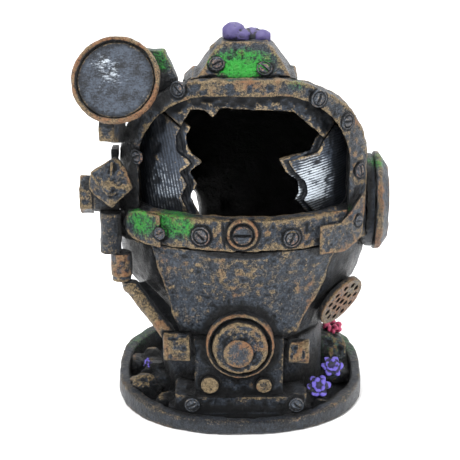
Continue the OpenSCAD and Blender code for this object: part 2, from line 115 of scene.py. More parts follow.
class Wire:
    """One socket of a material, with Python's operators adding its Math nodes."""

    def __init__(self, bench: "PaintBench", socket: bpy.types.NodeSocket) -> None:
        """Holds the socket and the bench that its nodes are made on."""
        self.bench = bench
        self.socket = socket

    def _sum(self, operation: str, first: Value, second: Value) -> "Wire":
        """A Math node on two values."""
        return self.bench.node("ShaderNodeMath", {"operation": operation}, {0: first, 1: second})

    def __add__(self, other: Value) -> "Wire":
        """Sum."""
        return self._sum("ADD", self, other)

    __radd__ = __add__

    def __sub__(self, other: Value) -> "Wire":
        """Difference."""
        return self._sum("SUBTRACT", self, other)

    def __rsub__(self, other: Value) -> "Wire":
        """Difference from a number."""
        return self._sum("SUBTRACT", other, self)

    def __mul__(self, other: Value) -> "Wire":
        """Product."""
        return self._sum("MULTIPLY", self, other)

    __rmul__ = __mul__

    def ramp(self, low: float, high: float) -> "Wire":
        """Rises smoothly from 0 at low to 1 at high."""
        return self.bench.node("ShaderNodeMapRange", {"interpolation_type": "SMOOTHSTEP"},
                               {0: self, 1: low, 2: high})


class PaintBench:
    """A material under construction."""

    def __init__(self, name: str) -> None:
        """Starts an empty material of that name."""
        self.material = bpy.data.materials.new(name)
        self.material.use_nodes = True
        self.tree = self.material.node_tree
        self.tree.nodes.clear()
        coords = self.node("ShaderNodeTexCoord", out="Object")
        self.place = self.node("ShaderNodeMapping", {}, {"Vector": coords, "Scale": (1 / MM,) * 3})

    def node(self, kind: str, settings: Optional[dict] = None, inputs: Optional[dict] = None,
             out: Union[int, str] = 0) -> Wire:
        """Adds any node.

        Args:
            kind: the node's Blender type.
            settings: its own settings, which are set first.
            inputs: values or wires by input name or number.
            out: the output to hand back.

        Returns:
            The chosen output.
        """
        made = self.tree.nodes.new(kind)
        for key, value in (settings or {}).items():
            setattr(made, key, value)
        for key, value in (inputs or {}).items():
            if isinstance(value, Wire):
                self.tree.links.new(value.socket, made.inputs[key])
            else:
                made.inputs[key].default_value = value
        return Wire(self, made.outputs[out])

    def noise(self, per_mm: float, detail: float = 4.0, rough: float = 0.6,
              place: Optional[Wire] = None) -> Wire:
        """Cloudy values around 0.5, per_mm features to the millimetre."""
        return self.node("ShaderNodeTexNoise", {}, {
            "Vector": place or self.place, "Scale": per_mm, "Detail": detail, "Roughness": rough})

    def stretched(self, turn: tuple[float, float, float],
                  scale: tuple[float, float, float]) -> Wire:
        """The place turned and stretched, for brush strokes that run one way."""
        return self.node("ShaderNodeMapping", {}, {
            "Vector": self.place, "Rotation": turn, "Scale": scale})

    def mask(self, name: str) -> Wire:
        """A value that a piece's skin carries."""
        return self.node("ShaderNodeAttribute", {"attribute_name": name}, out="Fac")

    def mix(self, share: Value, under: Value, over: Value) -> Wire:
        """One colour painted over another."""
        return self.node("ShaderNodeMix", {"data_type": "RGBA"}, {0: share, 6: under, 7: over},
                         out=2)

    def finish(self, colour: Value, roughness: Value, height: Optional[Wire] = None,
               relief: float = 0.15, metallic: Value = 0.0, **fixed: float) -> bpy.types.Material:
        """Closes the material with its shader.

        Args:
            colour: what it is painted.
            roughness: how dull it is.
            height: surface relief, from 0 to 1.
            relief: depth of that relief in millimetres.
            metallic: how metallic the paint is.
            fixed: constants set on the shader's own sockets.

        Returns:
            The finished material.
        """
        inputs: dict = {"Base Color": colour, "Roughness": roughness, "Metallic": metallic}
        if height is not None:
            inputs["Normal"] = self.node("ShaderNodeBump", {}, {
                "Height": height, "Strength": 1.0, "Distance": relief * MM})
        inputs.update({key.replace("_", " "): value for key, value in fixed.items()})
        shader = self.node("ShaderNodeBsdfPrincipled", {}, inputs)
        out = self.tree.nodes.new("ShaderNodeOutputMaterial")
        self.tree.links.new(shader.socket, out.inputs["Surface"])
        return self.material


# ------------------------------------------------------------------ finishes

class Mask(Enum):
    """Values that every recast skin carries for its paint."""
    EDGE = "edge"          # how far it stands proud
    HOLLOW = "hollow"      # how deep it lies
    SHADE = "shade"        # painted shade: how closed in it is, and engraved lines
    ALGAE = "algae"
    SILVER = "silver"
    INSIDE = "inside"      # painted shade: walls inside the helmet painted black
    WEAR = "wear"          # more or less brushing on the whole piece


BLACK = rgb(6, 7, 9)
SLATE = rgb(24, 28, 35)
SLATE_LIGHT = rgb(86, 97, 111)
TAN = rgb(182, 156, 112)
TAN_DARK = rgb(98, 84, 60)
RUST = rgb(156, 108, 68)
GREEN = rgb(50, 172, 56)
GREEN_DARK = rgb(18, 66, 30)
SILVER = rgb(196, 205, 214)
RIB_SCALE = 0.314                # scale of the Wave node that gives one rib to the millimetre


class Recipe(Protocol):
    """A finish that can mix its own material."""

    def material(self, name: str) -> bpy.types.Material:
        """Mixes the material under that name."""


@dataclass(frozen=True)
class ResinPaint:
    """Layers of worn paint over cast resin, with painted shade in hollows and crevices."""
    ground: Colour = SLATE
    ground_light: Colour = SLATE_LIGHT
    brush: Colour = TAN
    brush_dark: Colour = TAN_DARK
    accent: Colour = RUST
    cover: float = 0.0         # dry brushing on the open surface
    accent_cover: float = 0.3
    roughness: float = 0.3
    relief: float = 1.2

    def material(self, name: str) -> bpy.types.Material:
        """Mixes the paint.

        Args:
            name: name of the material.

        Returns:
            The material.
        """
        bench = PaintBench(name)
        broad = bench.noise(0.11, 2.0)
        patch = bench.noise(0.42, 4.0)
        grain = bench.noise(1.8, 5.0, 0.78)
        fleck = bench.noise(4.4, 3.0)
        edge = bench.mask(Mask.EDGE.value)
        hollow = bench.mask(Mask.HOLLOW.value)
        shade = bench.mask(Mask.SHADE.value)

        pits = bench.noise(1.3, 5.0, 0.75).ramp(0.54, 0.62)
        ground = bench.mix((grain * 0.8 + fleck * 0.3 + patch * 0.3).ramp(0.58, 0.86),
                           self.ground, self.ground_light)
        # less brushing in hollows, and where shade is painted
        level = (edge * 0.38 + grain * 1.45 + fleck * 0.6 + patch * 0.3 + broad * 0.3
                 + bench.mask(Mask.WEAR.value) + self.cover - hollow * 0.8 - shade * 0.5)
        brushed = level.ramp(1.38, 1.66)
        tan = bench.mix((fleck * 0.6 + grain * 0.5).ramp(0.44, 0.68), self.brush_dark, self.brush)
        warm = (broad * 1.3 + patch * 0.7 + self.accent_cover).ramp(1.1, 1.5)
        tan = bench.mix(warm, tan, self.accent)
        colour = bench.mix(brushed * 0.85, ground, tan)
        colour = bench.mix(pits * 0.85, colour, BLACK)
        # painted shade: black over hollows, crevices, engraved lines and shade dabs
        painted_shade = (hollow * 1.25 + shade * 1.15 - fleck * 0.3).ramp(0.06, 0.8)
        colour = bench.mix(painted_shade * 0.94, colour, BLACK)

        growth = bench.mask(Mask.ALGAE.value)
        algae = growth * 0.8 + grain * 2.2 + patch * 1.2 - hollow * 0.4 - pits * 0.5
        green = bench.mix((fleck * 0.6 + grain * 0.6 + growth * 0.25).ramp(0.5, 0.95),
                          GREEN_DARK, GREEN)
        colour = bench.mix(algae.ramp(2.0, 2.7) * growth.ramp(0.02, 0.4) * 0.9, colour, green)

        strokes = bench.noise(1.3, 4.0, 0.7, bench.stretched((0.3, 0.5, 0.9), (0.6, 2.2, 2.2)))
        silver = bench.mask(Mask.SILVER.value)
        bright = (silver * 1.1 + strokes * 0.9 - hollow * 0.5).ramp(1.0, 1.25)
        colour = bench.mix(bright * 0.85, colour, SILVER)
        # painted shade: walls inside the helmet and the neck painted black
        colour = bench.mix(bench.mask(Mask.INSIDE.value), colour, BLACK)

        coarse = bench.noise(0.8, 5.0, 0.62)
        height = coarse * 2.2 + grain * 0.8 + fleck * 0.2 + brushed * 0.1 - pits * 0.5
        return bench.finish(colour, self.roughness + brushed * 0.2 - bright * 0.05, height,
                            self.relief, bright * 0.4)


@dataclass(frozen=True)
class ScratchedSilver:
    """Silver paint dragged over dark resin, as on the lens and the broken pane."""
    ground: Colour = rgb(16, 19, 24)
    ground_light: Colour = rgb(60, 68, 80)
    cover: float = 0.0
    ribs_per_mm: float = 0.0
    ribs_step: str = "Z"
    turn: tuple[float, float, float] = (0.0, 0.5, 0.0)

    def material(self, name: str) -> bpy.types.Material:
        """Mixes the paint.

        Args:
            name: name of the material.

        Returns:
            The material.
        """
        bench = PaintBench(name)
        patch = bench.noise(0.3, 3.0)
        grain = bench.noise(1.8, 5.0, 0.7)
        along = bench.noise(1.0, 4.0, 0.75, bench.stretched(self.turn, (0.55, 1.0, 2.6)))
        edge = bench.mask(Mask.EDGE.value)
        hollow = bench.mask(Mask.HOLLOW.value)
        silver = bench.mask(Mask.SILVER.value)
        if self.ribs_per_mm:
            rib = bench.node("ShaderNodeTexWave", {"bands_direction": self.ribs_step}, {
                "Vector": bench.stretched((0.0, 0.18, 0.0), (1.0, 1.0, 1.0)),
                "Scale": self.ribs_per_mm * RIB_SCALE, "Distortion": 1.2, "Detail": 2.0}, out=1)
            along = along * 0.6 + rib * 0.36
        dark = bench.mix((grain * 0.6 + along * 0.5 + patch * 0.6).ramp(0.72, 1.0), self.ground,
                         self.ground_light)
        level = along * 1.05 + grain * 0.55 + silver * 0.5 + self.cover - hollow * 0.6
        bright = level.ramp(1.02, 1.42)
        colour = bench.mix(bright * 0.9, dark, SILVER)
        tan = (edge * 0.55 + grain * 1.3 + patch * 0.6).ramp(1.36, 1.75)
        colour = bench.mix(tan * (1 - silver) * 0.8, colour, TAN)
        # painted shade: black in crevices, engraved lines and hollows
        shade = (bench.mask(Mask.SHADE.value) * 1.2 + hollow).ramp(0.2, 1.0)
        colour = bench.mix(shade * 0.85, colour, BLACK)
        growth = bench.mask(Mask.ALGAE.value)
        algae = (growth * 1.3 + grain * 0.8).ramp(1.0, 1.25)
        colour = bench.mix(algae * growth.ramp(0.02, 0.2), colour, GREEN)
        return bench.finish(colour, 0.5 - bright * 0.14, along * 0.7 + grain * 0.3, 0.22,
                            bright * 0.35, Specular_IOR_Level=0.25)


@dataclass(frozen=True)
class BodyColour:
    """One bright matt colour with painted shade in its hollows, for flowers and corals."""
    # bright is the colour where lit, deep the colour of its painted shade
    bright: Colour
    deep: Colour

    def material(self, name: str) -> bpy.types.Material:
        """Mixes the paint.

        Args:
            name: name of the material.

        Returns:
            The material.
        """
        bench = PaintBench(name)
        grain = bench.noise(1.6, 5.0, 0.7)
        fleck = bench.noise(4.0, 2.0)
        edge = bench.mask(Mask.EDGE.value)
        hollow = bench.mask(Mask.HOLLOW.value)
        shade = bench.mask(Mask.SHADE.value)
        # random grain, lighter on what stands proud, and painted shade in hollows and shade
        lit = (edge * 0.5 + grain * 1.5 + fleck * 0.4 - hollow * 0.8 - shade * 0.3).ramp(0.7, 1.25)
        colour = bench.mix(lit, self.deep, self.bright)
        # slate in painted shade, and in random flecks
        bare_and_shade = (shade * 0.9 + fleck * 0.9 - edge * 0.6).ramp(0.95, 1.15)
        colour = bench.mix(bare_and_shade * 0.9, colour, SLATE)
        return bench.finish(colour, 0.62 - lit * 0.05, grain * 0.6 + fleck * 0.4, 0.2)


@dataclass(frozen=True)
class SoftSilicone:
    """Moulded black silicone with a faint bloom."""

    def material(self, name: str) -> bpy.types.Material:
        """Mixes the finish under that name."""
        bench = PaintBench(name)
        bloom = bench.noise(0.9, 5.0, 0.7)
        colour = bench.mix(bloom.ramp(0.4, 0.7), rgb(30, 31, 34), rgb(58, 60, 63))
        return bench.finish(colour, 0.5 + bloom * 0.25, bloom, 0.03)


@dataclass(frozen=True)
class MilkyPlastic:
    """Translucent moulded plastic with fine flow marks."""

    def material(self, name: str) -> bpy.types.Material:
        """Mixes the finish under that name."""
        bench = PaintBench(name)
        flow = bench.noise(0.5, 4.0, 0.6, bench.stretched((0.0, 0.0, 0.0), (1.0, 0.3, 1.0)))
        colour = bench.mix(flow.ramp(0.35, 0.7), rgb(206, 212, 216), rgb(232, 236, 238))
        return bench.finish(colour, 0.16 + flow * 0.12, flow, 0.03,
                            Transmission_Weight=0.35, IOR=1.49)


@dataclass(frozen=True)
class PorousStone:
    """Bonded mineral grain, open between its grains."""

    def material(self, name: str) -> bpy.types.Material:
        """Mixes the finish under that name."""
        bench = PaintBench(name)
        grains = bench.node("ShaderNodeTexVoronoi", {}, {"Vector": bench.place, "Scale": 1.5})
        tint = bench.noise(1.5, 3.0)
        colour = bench.mix(tint.ramp(0.35, 0.65), rgb(92, 128, 158), rgb(142, 170, 190))
        colour = bench.mix(grains.ramp(0.3, 0.62) * 0.8, colour, rgb(38, 52, 68))
        return bench.finish(colour, 0.86 + tint * 0.1, 1 - grains, 0.3)


class Finish(Enum):
    """The record's material slots, each with the recipe of its finish."""
    charcoal_resin = ResinPaint(cover=-0.2, accent_cover=0.05, ground=rgb(14, 17, 22),
                                ground_light=rgb(62, 71, 83))
    drybrushed_resin = ResinPaint(cover=-0.02, accent_cover=0.1)
    rust_resin = ResinPaint(cover=0.02, accent_cover=0.26)
    black_washed_resin = ResinPaint(cover=-0.34, relief=0.4)
    slate_resin = ResinPaint(cover=-0.06, ground=rgb(48, 55, 64), ground_light=rgb(84, 94, 106))
    algae_resin = ResinPaint(cover=-0.02, accent_cover=0.1)
    silver_glass_resin = ScratchedSilver()
    smoked_glass_resin = ScratchedSilver(ground=rgb(18, 20, 24), cover=-0.35)
    purple_coral = BodyColour(rgb(92, 80, 172), rgb(30, 24, 62))
    pink_coral_paint = BodyColour(rgb(186, 66, 102), rgb(92, 22, 46))
    silicone = SoftSilicone()
    clear_acrylic = MilkyPlastic()
    blue_air_stone = PorousStone()


class PaintShelf:
    """Makes each material once and hands it out."""

    def __init__(self) -> None:
        """Starts with nothing mixed."""
        self.mixed: dict[str, bpy.types.Material] = {}

    def take(self, slot: str, recipe: Optional[Recipe] = None,
             name: str = "") -> bpy.types.Material:
        """The material of a slot, or of a recipe of its own under another name.

        Args:
            slot: the record's slot.
            recipe: a finish that takes the place of the slot's own.
            name: the material's name, if it isn't the slot's.

        Returns:
            The material, mixed on its first use.
        """
        key = name or slot
        if key not in self.mixed:
            self.mixed[key] = (recipe or Finish[slot].value).material(key)
        return self.mixed[key]


# ------------------------------------------------------------------ places from the frame

@dataclass(frozen=True)
class Span:
    """A box in millimetres."""
    low: Vector
    high: Vector

    def at(self, x: float, y: float, z: float) -> Vector:
        """The point at shares of the box's sides."""
        return Vector(a + (b - a) * s for a, b, s in zip(self.low, self.high, (x, y, z)))

    @property
    def size(self) -> Vector:
        """Its three sides."""
        return self.high - self.low


def span(node: str) -> Span:
    """The box of a CAD node."""
    low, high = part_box(node)
    return Span(low / MM, high / MM)


@dataclass(frozen=True)
class Disc:
    """A round part: the middle of its seat, the way it faces, and its size."""
    seat: Vector
    axis: Vector
    radius: float
    height: float

    def matrix(self) -> Matrix:
        """Puts +Z on the disc's axis and the origin on its seat."""
        return Matrix.Translation(self.seat) @ facing(self.axis)


def facing(axis: Vector) -> Matrix:
    """Turns +Z to face along an axis."""
    return axis.to_track_quat("Z", "Y").to_matrix().to_4x4()


def helmet_middle() -> np.ndarray:
    """The middle of the helmet's shell."""
    return np.array(span("helmet_shell").at(0.5, 0.5, 0.5))


def merged(*nodes: str) -> bmesh.types.BMesh:
    """One welded copy of CAD nodes, in millimetres."""
    shape = bmesh.new()
    for name in nodes:
        shape.from_mesh(frame["nodes"][name].data)
    bmesh.ops.scale(shape, vec=Vector((1 / MM,) * 3), verts=shape.verts)
    bmesh.ops.remove_doubles(shape, verts=shape.verts, dist=0.001)
    return shape


def islands(shape: bmesh.types.BMesh) -> list[list[bmesh.types.BMVert]]:
    """Corners of each separate part of a shape."""
    waiting, found = set(shape.verts), []
    while waiting:
        first = waiting.pop()
        group, edge = [first], [first]
        while edge:
            corner = edge.pop()
            for link in corner.link_edges:
                other = link.other_vert(corner)
                if other in waiting:
                    waiting.discard(other)
                    group.append(other)
                    edge.append(other)
        found.append(group)
    return found


def solids_of(node: str) -> list[np.ndarray]:
    """Corner points of each separate solid of a node."""
    shape = merged(node)
    found = [np.array([v.co[:] for v in group]) for group in islands(shape)]
    shape.free()
    return sorted(found, key=lambda points: tuple(points.mean(0).round(2)))


def boxes_of(node: str) -> list[Span]:
    """The box of each separate solid of a node."""
    return [Span(Vector(solid.min(0)), Vector(solid.max(0))) for solid in solids_of(node)]


def discs_of(node: str) -> list[Disc]:
    """Each solid of a node read as a disc that faces away from the helmet's middle."""
    middle = helmet_middle()
    found = []
    for points in solids_of(node):
        centre = (points.min(0) + points.max(0)) / 2
        spread, axes = np.linalg.eigh(np.cov((points - centre).T))
        order = np.argsort(spread)
        gaps = np.diff(spread[order])
        axis = axes[:, order[0] if gaps[0] > gaps[1] else order[2]]
        if node in ("left_clamp", "right_clamp"):
            axis = np.array([1.0, 0.0, 0.0])
        if axis @ (centre - middle) < 0:
            axis = -axis
        along = points @ axis
        flat = points - np.outer(along, axis)
        hub = (flat.min(0) + flat.max(0)) / 2
        radius = float(np.linalg.norm(flat - hub, axis=1).max())
        found.append(Disc(Vector(hub + axis * along.min()), Vector(axis), radius,
                          float(np.ptp(along))))
    return found


# ------------------------------------------------------------------ shaping

COARSE_TURN = 96                 # faces round small turned parts
FINE_TURN = 128                  # and round larger ones


def lathe(disc: Disc, profile: Pairs, steps: int = COARSE_TURN) -> bmesh.types.BMesh:
    """Turns a profile on a disc's axis.

    Args:
        disc: the disc that the shape fills.
        profile: (share of its radius, share of its height) from the seat outwards.
        steps: faces round the turn.

    Returns:
        The shape.
    """
    turned = bmesh.new()
    corners = [turned.verts.new((r * disc.radius, 0.0, h * disc.height)) for r, h in profile]
    line = [turned.edges.new(pair) for pair in zip(corners, corners[1:])]
    bmesh.ops.spin(turned, geom=corners + line, cent=(0, 0, 0), axis=(0, 0, 1), dvec=(0, 0, 0),
                   angle=math.tau, steps=steps, use_merge=True, use_duplicate=False)
    bmesh.ops.remove_doubles(turned, verts=turned.verts, dist=1e-4)
    bmesh.ops.recalc_face_normals(turned, faces=turned.faces)
    bmesh.ops.transform(turned, matrix=disc.matrix(), verts=turned.verts)
    return turned


def joined(into: Optional[bmesh.types.BMesh], shape: bmesh.types.BMesh) -> bmesh.types.BMesh:
    """Adds a shape to another, and empties it."""
    if into is None:
        return shape
    carrier = bpy.data.meshes.new("carrier")
    shape.to_mesh(carrier)
    shape.free()
    into.from_mesh(carrier)
    bpy.data.meshes.remove(carrier)
    return into


def blob(shape: bmesh.types.BMesh, centre: Vector, radii: Sequence[float],
         turn: Optional[Matrix] = None) -> None:
    """Adds an egg-shaped lump.

    Args:
        shape: the mesh that it is added to.
        centre: its middle.
        radii: its three radii.
        turn: how it is turned.
    """
    place = Matrix.Translation(centre) @ (turn or Matrix.Identity(4))
    bmesh.ops.create_icosphere(shape, subdivisions=3, radius=1.0,
                               matrix=place @ Matrix.Diagonal((*radii, 1)))


def rod(shape: bmesh.types.BMesh, start: Vector, end: Vector, radius: float) -> None:
    """Adds a round-ended rod between two points."""
    along = end - start
    bmesh.ops.create_cone(shape, cap_ends=True, cap_tris=True, segments=16, radius1=radius,
                          radius2=radius, depth=along.length,
                          matrix=Matrix.Translation((start + end) / 2) @ facing(along))
    for tip in (start, end):
        blob(shape, tip, (radius,) * 3)


def cut(shape: bmesh.types.BMesh, matrix: Matrix) -> bmesh.types.BMesh:
    """Cuts a unit cube, placed by a matrix, out of a shape.

    Args:
        shape: the shape, which is used up.
        matrix: place, turn and size of the cube.

    Returns:
        What is left.
    """
    tool = bmesh.new()
    bmesh.ops.create_cube(tool, size=1.0, matrix=matrix)
    cutter = shown_object("cutter", tool)
    work = shown_object("work", shape)
    knife = work.modifiers.new("cut", "BOOLEAN")
    knife.object = cutter
    knife.solver = "EXACT"
    return taken(work, cutter)


def shown_object(name: str, shape: bmesh.types.BMesh) -> bpy.types.Object:
    """Makes an object of a shape, which is used up."""
    mesh = bpy.data.meshes.new(name)
    shape.to_mesh(mesh)
    shape.free()
    made = bpy.data.objects.new(name, mesh)
    bpy.context.scene.collection.objects.link(made)
    return made


def taken(work: bpy.types.Object, *others: bpy.types.Object) -> bmesh.types.BMesh:
    """The shape of an object with its modifiers applied. It and the others are removed."""
    ready = work.evaluated_get(bpy.context.evaluated_depsgraph_get())
    mesh = bpy.data.meshes.new_from_object(ready)
    shape = bmesh.new()
    shape.from_mesh(mesh)
    bpy.data.meshes.remove(mesh)
    for spent in (work, *others):
        bpy.data.meshes.remove(spent.data)
    return shape


def even_faces(shape: bmesh.types.BMesh, size: float) -> bmesh.types.BMesh:
    """Recasts a shape as one skin of small even faces of that size."""
    work = shown_object("work", shape)
    remesh = work.modifiers.new("even", "REMESH")
    remesh.mode = "VOXEL"
    remesh.voxel_size = size
    remesh.adaptivity = 0.0
    skin = taken(work)
    for island in islands(skin):
        if len(island) < CRUMB:
            bmesh.ops.delete(skin, geom=island, context="VERTS")
    return skin


HASH_AXES = (374761393, 668265263, 974634777)    # large odd numbers that scatter grid cells
HASH_SEED = 1442695041
HASH_MIX = 1274126177
LOW_BITS = 0xFFFFFF
SEED_STEP = 7.31                 # how far apart the grids of two seeds lie, in cells


def cell_corners(share: np.ndarray) -> Iterator[tuple[np.ndarray, np.ndarray]]:
    """The eight corners of the grid cell round each point.

    Args:
        share: how far across its cell each point lies, from 0 to 1.

    Yields:
        A corner as three steps of 0 or 1, and its weight at each point.
    """
    for corner in np.ndindex(2, 2, 2):
        steps = np.array(corner)
        yield steps, np.prod(np.where(steps == 1, share, 1 - share), axis=1)


def cloud(points: np.ndarray, size: float, seed: int) -> np.ndarray:
    """Smooth random values from -1 to 1 at each point, with lumps of a size.

    Args:
        points: places in millimetres.
        size: distance between lumps.
        seed: which cloud.

    Returns:
        One value per point.
    """
    spot = points / size + seed * SEED_STEP
    cell = np.floor(spot).astype(np.int64)
    share = spot - cell
    total = np.zeros(len(points))
    for steps, weight in cell_corners(share * share * (3 - 2 * share)):
        key = ((cell + steps) * HASH_AXES).sum(1) + seed * HASH_SEED
        key = (key ^ (key >> 13)) * HASH_MIX
        random = ((key ^ (key >> 16)) & LOW_BITS) / LOW_BITS * 2 - 1
        total += random * weight
    return total


class Crevices:
    """Painted shade by how closed in a place is, read from distances to the whole CAD model."""
    STEP = 1.4
    MARGIN = 4
    LOOKS = ((2.5, 0.4), (4.5, 0.35), (8.0, 0.25))   # how far it looks, and what that counts
    GAIN, START = 1.9, 0.25

    def __init__(self) -> None:
        """Measures the distance to the model at each point of a coarse grid."""
        everything = merged(*[node for node in frame["nodes"] if node != "air_connector"])
        tree = BVHTree.FromBMesh(everything)
        everything.free()
        low, high = (np.array(corner) / MM for corner in CAD_BOX)
        self.low = low - self.MARGIN
        self.counts = np.ceil((high + self.MARGIN - self.low) / self.STEP).astype(int) + 1
        grid = np.empty(self.counts)
        for cell in np.ndindex(*self.counts):
            grid[cell] = tree.find_nearest(Vector(self.low + np.array(cell) * self.STEP))[3]
        self.grid = grid

    def distance(self, points: np.ndarray) -> np.ndarray:
        """Distance to the model at each point, between the grid's own points."""
        spot = np.clip((points - self.low) / self.STEP, 0, self.counts - 1.001)
        cell = spot.astype(int)
        total = np.zeros(len(points))
        for steps, weight in cell_corners(spot - cell):
            total += weight * self.grid[tuple((cell + steps).T)]
        return total

    def shade(self, points: np.ndarray, normals: np.ndarray) -> np.ndarray:
        """Painted shade, from 0 in the open to 1 deep between walls."""
        shut = np.zeros(len(points))
        for reach, weight in self.LOOKS:
            shut += weight * (1 - self.distance(points + normals * reach) / reach)
        return np.clip(shut * self.GAIN - self.START, 0, 1)


@dataclass(frozen=True)
class Dab:
    """A round dab of a mask around a place."""
    mask: Mask
    centre: Vector
    radii: Sequence[float]
    strength: float = 1.0


@dataclass(frozen=True)
class Groove:
    """A line engraved into the skin between two places, with painted shade inside it."""
    start: Vector
    end: Vector
    width: float = 0.6
    depth: float = 0.4


RING_PLACE = 1.05                # radius of the line round a screw, as a share of the screw's
RING_WIDTH = 0.42
RING_DEPTH = 0.28
RING_REACH = 2.2                 # how far from the screw's seat the line still shows
PULL = 0.6                       # share of the way to its neighbours that a corner moves
DAB_EDGE = 1.25                  # a dab is full to half its radii and ends just past them
EDGE_SIZE = 0.9                  # width of the edges that brushing picks out
FINE_ROUNDS, BROAD_ROUNDS = 40, 120
FINE_RELIEF = 0.16               # a small bump or pit of this height counts in full
BROAD_EDGE, BROAD_HOLLOW = 0.5, 0.7


@dataclass
class Foundry:
    """Recasts, wears, paints and mounts every piece."""
    crevices: Crevices
    shelf: PaintShelf
    rings: list[Disc] = field(default_factory=list)
    slots: dict[str, str] = field(default_factory=dict)
    faces: int = 0

    def __post_init__(self) -> None:
        """Reads the slots from the record."""
        for part in frame["record"]["subparts"]:
            self.slots[part["node"]] = part["material_slot"]

    def cast(self, name: str, nodes: Sequence[str], shape: Optional[bmesh.types.BMesh] = None,
             voxel: float = 0.4, rounds: int = 3, lumps: Pairs = ((3, 0.25),),
             dabs: Sequence[Dab] = (), grooves: Sequence[Groove] = (), wear: float = 0.0,
             recipe: Optional[Recipe] = None, inside: bool = False, ringed: bool = True,
             seed: int = 1) -> None:
        """Makes one piece that stands for CAD nodes.

        Args:
            name: name of the piece.
            nodes: the nodes that it replaces.
            shape: its rough shape, or the nodes' own.
            voxel: size of its faces.
            rounds: how far its edges are softened.
            lumps: (size, depth) of each scale of unevenness.
            dabs: dabs of paint masks, painted shade among them.
            grooves: engraved lines, with painted shade in them.
            wear: more or less dry brushing.
            recipe: a finish of its own.
            inside: whether walls that face the helmet's middle get painted shade in black.
            ringed: whether screws nearby have an engraved line with painted shade round them.
            seed: which random unevenness.
        """
        piece = shown_object(name, even_faces(shape or merged(*nodes), voxel))
        mesh = piece.data
        points = self.read(mesh.vertices, "co")
        ends = np.empty(len(mesh.edges) * 2, np.int32)
        mesh.edges.foreach_get("vertices", ends)
        ends = ends.reshape(-1, 2)
        boxes = [span(node) for node in nodes]
        low = np.min([box.low for box in boxes], axis=0)
        high = np.max([box.high for box in boxes], axis=0)

        points = self.softened(points, ends, rounds)
        normals = self.put(mesh, points)
        for number, (size, depth) in enumerate(lumps):
            uneven = cloud(points, size, seed * 10 + number)
            points = points + normals * (depth * (uneven * 0.5 - 0.15))[:, None]
        # dark: painted shade in the engraved lines round screws and in grooves
        dark = np.zeros(len(points))
        marks = [(self.ring_line, disc, RING_DEPTH) for disc in self.rings if ringed]
        marks += [(self.groove_line, groove, groove.depth) for groove in grooves]
        for line_at, mark, depth in marks:
            line = line_at(points, mark)
            dark = np.maximum(dark, line)
            points = points - normals * (line * depth)[:, None]
        points = np.clip(points, low, high)
        normals = self.put(mesh, points)

        reach = max(2, round((EDGE_SIZE / voxel) ** 2 * 2))
        proud, broad = (((points - self.softened(points, ends, turns)) * normals).sum(1)
                        for turns in (min(reach, FINE_ROUNDS), min(reach * 4, BROAD_ROUNDS)))
        shade = self.crevices.shade(points, normals)
        masks = {
            Mask.EDGE: np.clip(proud / FINE_RELIEF + broad / BROAD_EDGE, 0, 1),
            Mask.HOLLOW: np.clip(-proud / FINE_RELIEF - broad / BROAD_HOLLOW, 0, 1),
            # painted shade: closed-in places, engraved lines and shade dabs
            Mask.SHADE: np.clip(shade + dark * 0.9 + self.dabbed(points, dabs, Mask.SHADE), 0, 1),
            Mask.ALGAE: self.dabbed(points, dabs, Mask.ALGAE),
            Mask.SILVER: self.dabbed(points, dabs, Mask.SILVER),
            Mask.INSIDE: self.facing_in(points, normals) if inside else np.zeros(len(points)),
            Mask.WEAR: np.full(len(points), wear) + self.dabbed(points, dabs, Mask.WEAR),
        }
        for mask, values in masks.items():
            layer = mesh.attributes.new(mask.value, "FLOAT", "POINT")
            layer.data.foreach_set("value", values.astype(np.float32))
        self.put(mesh, points * MM)
        self.mount(piece, nodes, recipe)

    def mount(self, piece: bpy.types.Object, nodes: Sequence[str],
              recipe: Optional[Recipe]) -> None:
        """Paints a piece, hangs it on its body and lets it stand for its nodes.

        Args:
            piece: the piece.
            nodes: the nodes that it replaces.
            recipe: a finish of its own, if it has one.
        """
        slot = self.slots[nodes[0]]
        mesh = piece.data
        mesh.polygons.foreach_set("use_smooth", np.ones(len(mesh.polygons), bool))
        mesh.materials.clear()
        own_name = f"{piece.name}_paint" if recipe else ""
        mesh.materials.append(self.shelf.take(slot, recipe, own_name))
        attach(piece, frame["nodes"][nodes[0]]["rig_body"])
        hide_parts(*nodes)
        count = sum(len(face.vertices) - 2 for face in mesh.polygons)
        self.faces += count
        log.info("%s: %d triangles, %s", piece.name, count, slot)

    @staticmethod
    def read(source: bpy.types.bpy_prop_collection, what: str) -> np.ndarray:
        """Three numbers of every item as rows."""
        flat = np.empty(len(source) * 3, np.float32)
        source.foreach_get(what, flat)
        return flat.reshape(-1, 3).astype(float)

    def put(self, mesh: bpy.types.Mesh, points: np.ndarray) -> np.ndarray:
        """Moves a mesh's corners and returns their new normals."""
        mesh.vertices.foreach_set("co", points.astype(np.float32).ravel())
        mesh.update()
        return self.read(mesh.vertex_normals, "vector")

    @staticmethod
    def softened(points: np.ndarray, ends: np.ndarray, rounds: int) -> np.ndarray:
        """Each corner moved to its neighbours' mean, a number of times."""
        first, second = ends.T
        count = np.bincount(ends.ravel(), minlength=len(points)).clip(1)
        for _ in range(rounds):
            moved = np.empty_like(points)
            for side in range(3):
                moved[:, side] = (np.bincount(first, points[second, side], len(points))
                                  + np.bincount(second, points[first, side], len(points)))
            points = moved / count[:, None] * PULL + points * (1 - PULL)
        return points

    @staticmethod
    def ring_line(points: np.ndarray, disc: Disc) -> np.ndarray:
        """How strongly each corner lies on the line round a screw."""
        away = points - np.array(disc.seat)
        along = away @ np.array(disc.axis)
        out = np.linalg.norm(away - np.outer(along, np.array(disc.axis)), axis=1)
        ring = np.exp(-((out - disc.radius * RING_PLACE) / RING_WIDTH) ** 2)
        return ring * (np.abs(along) < RING_REACH)

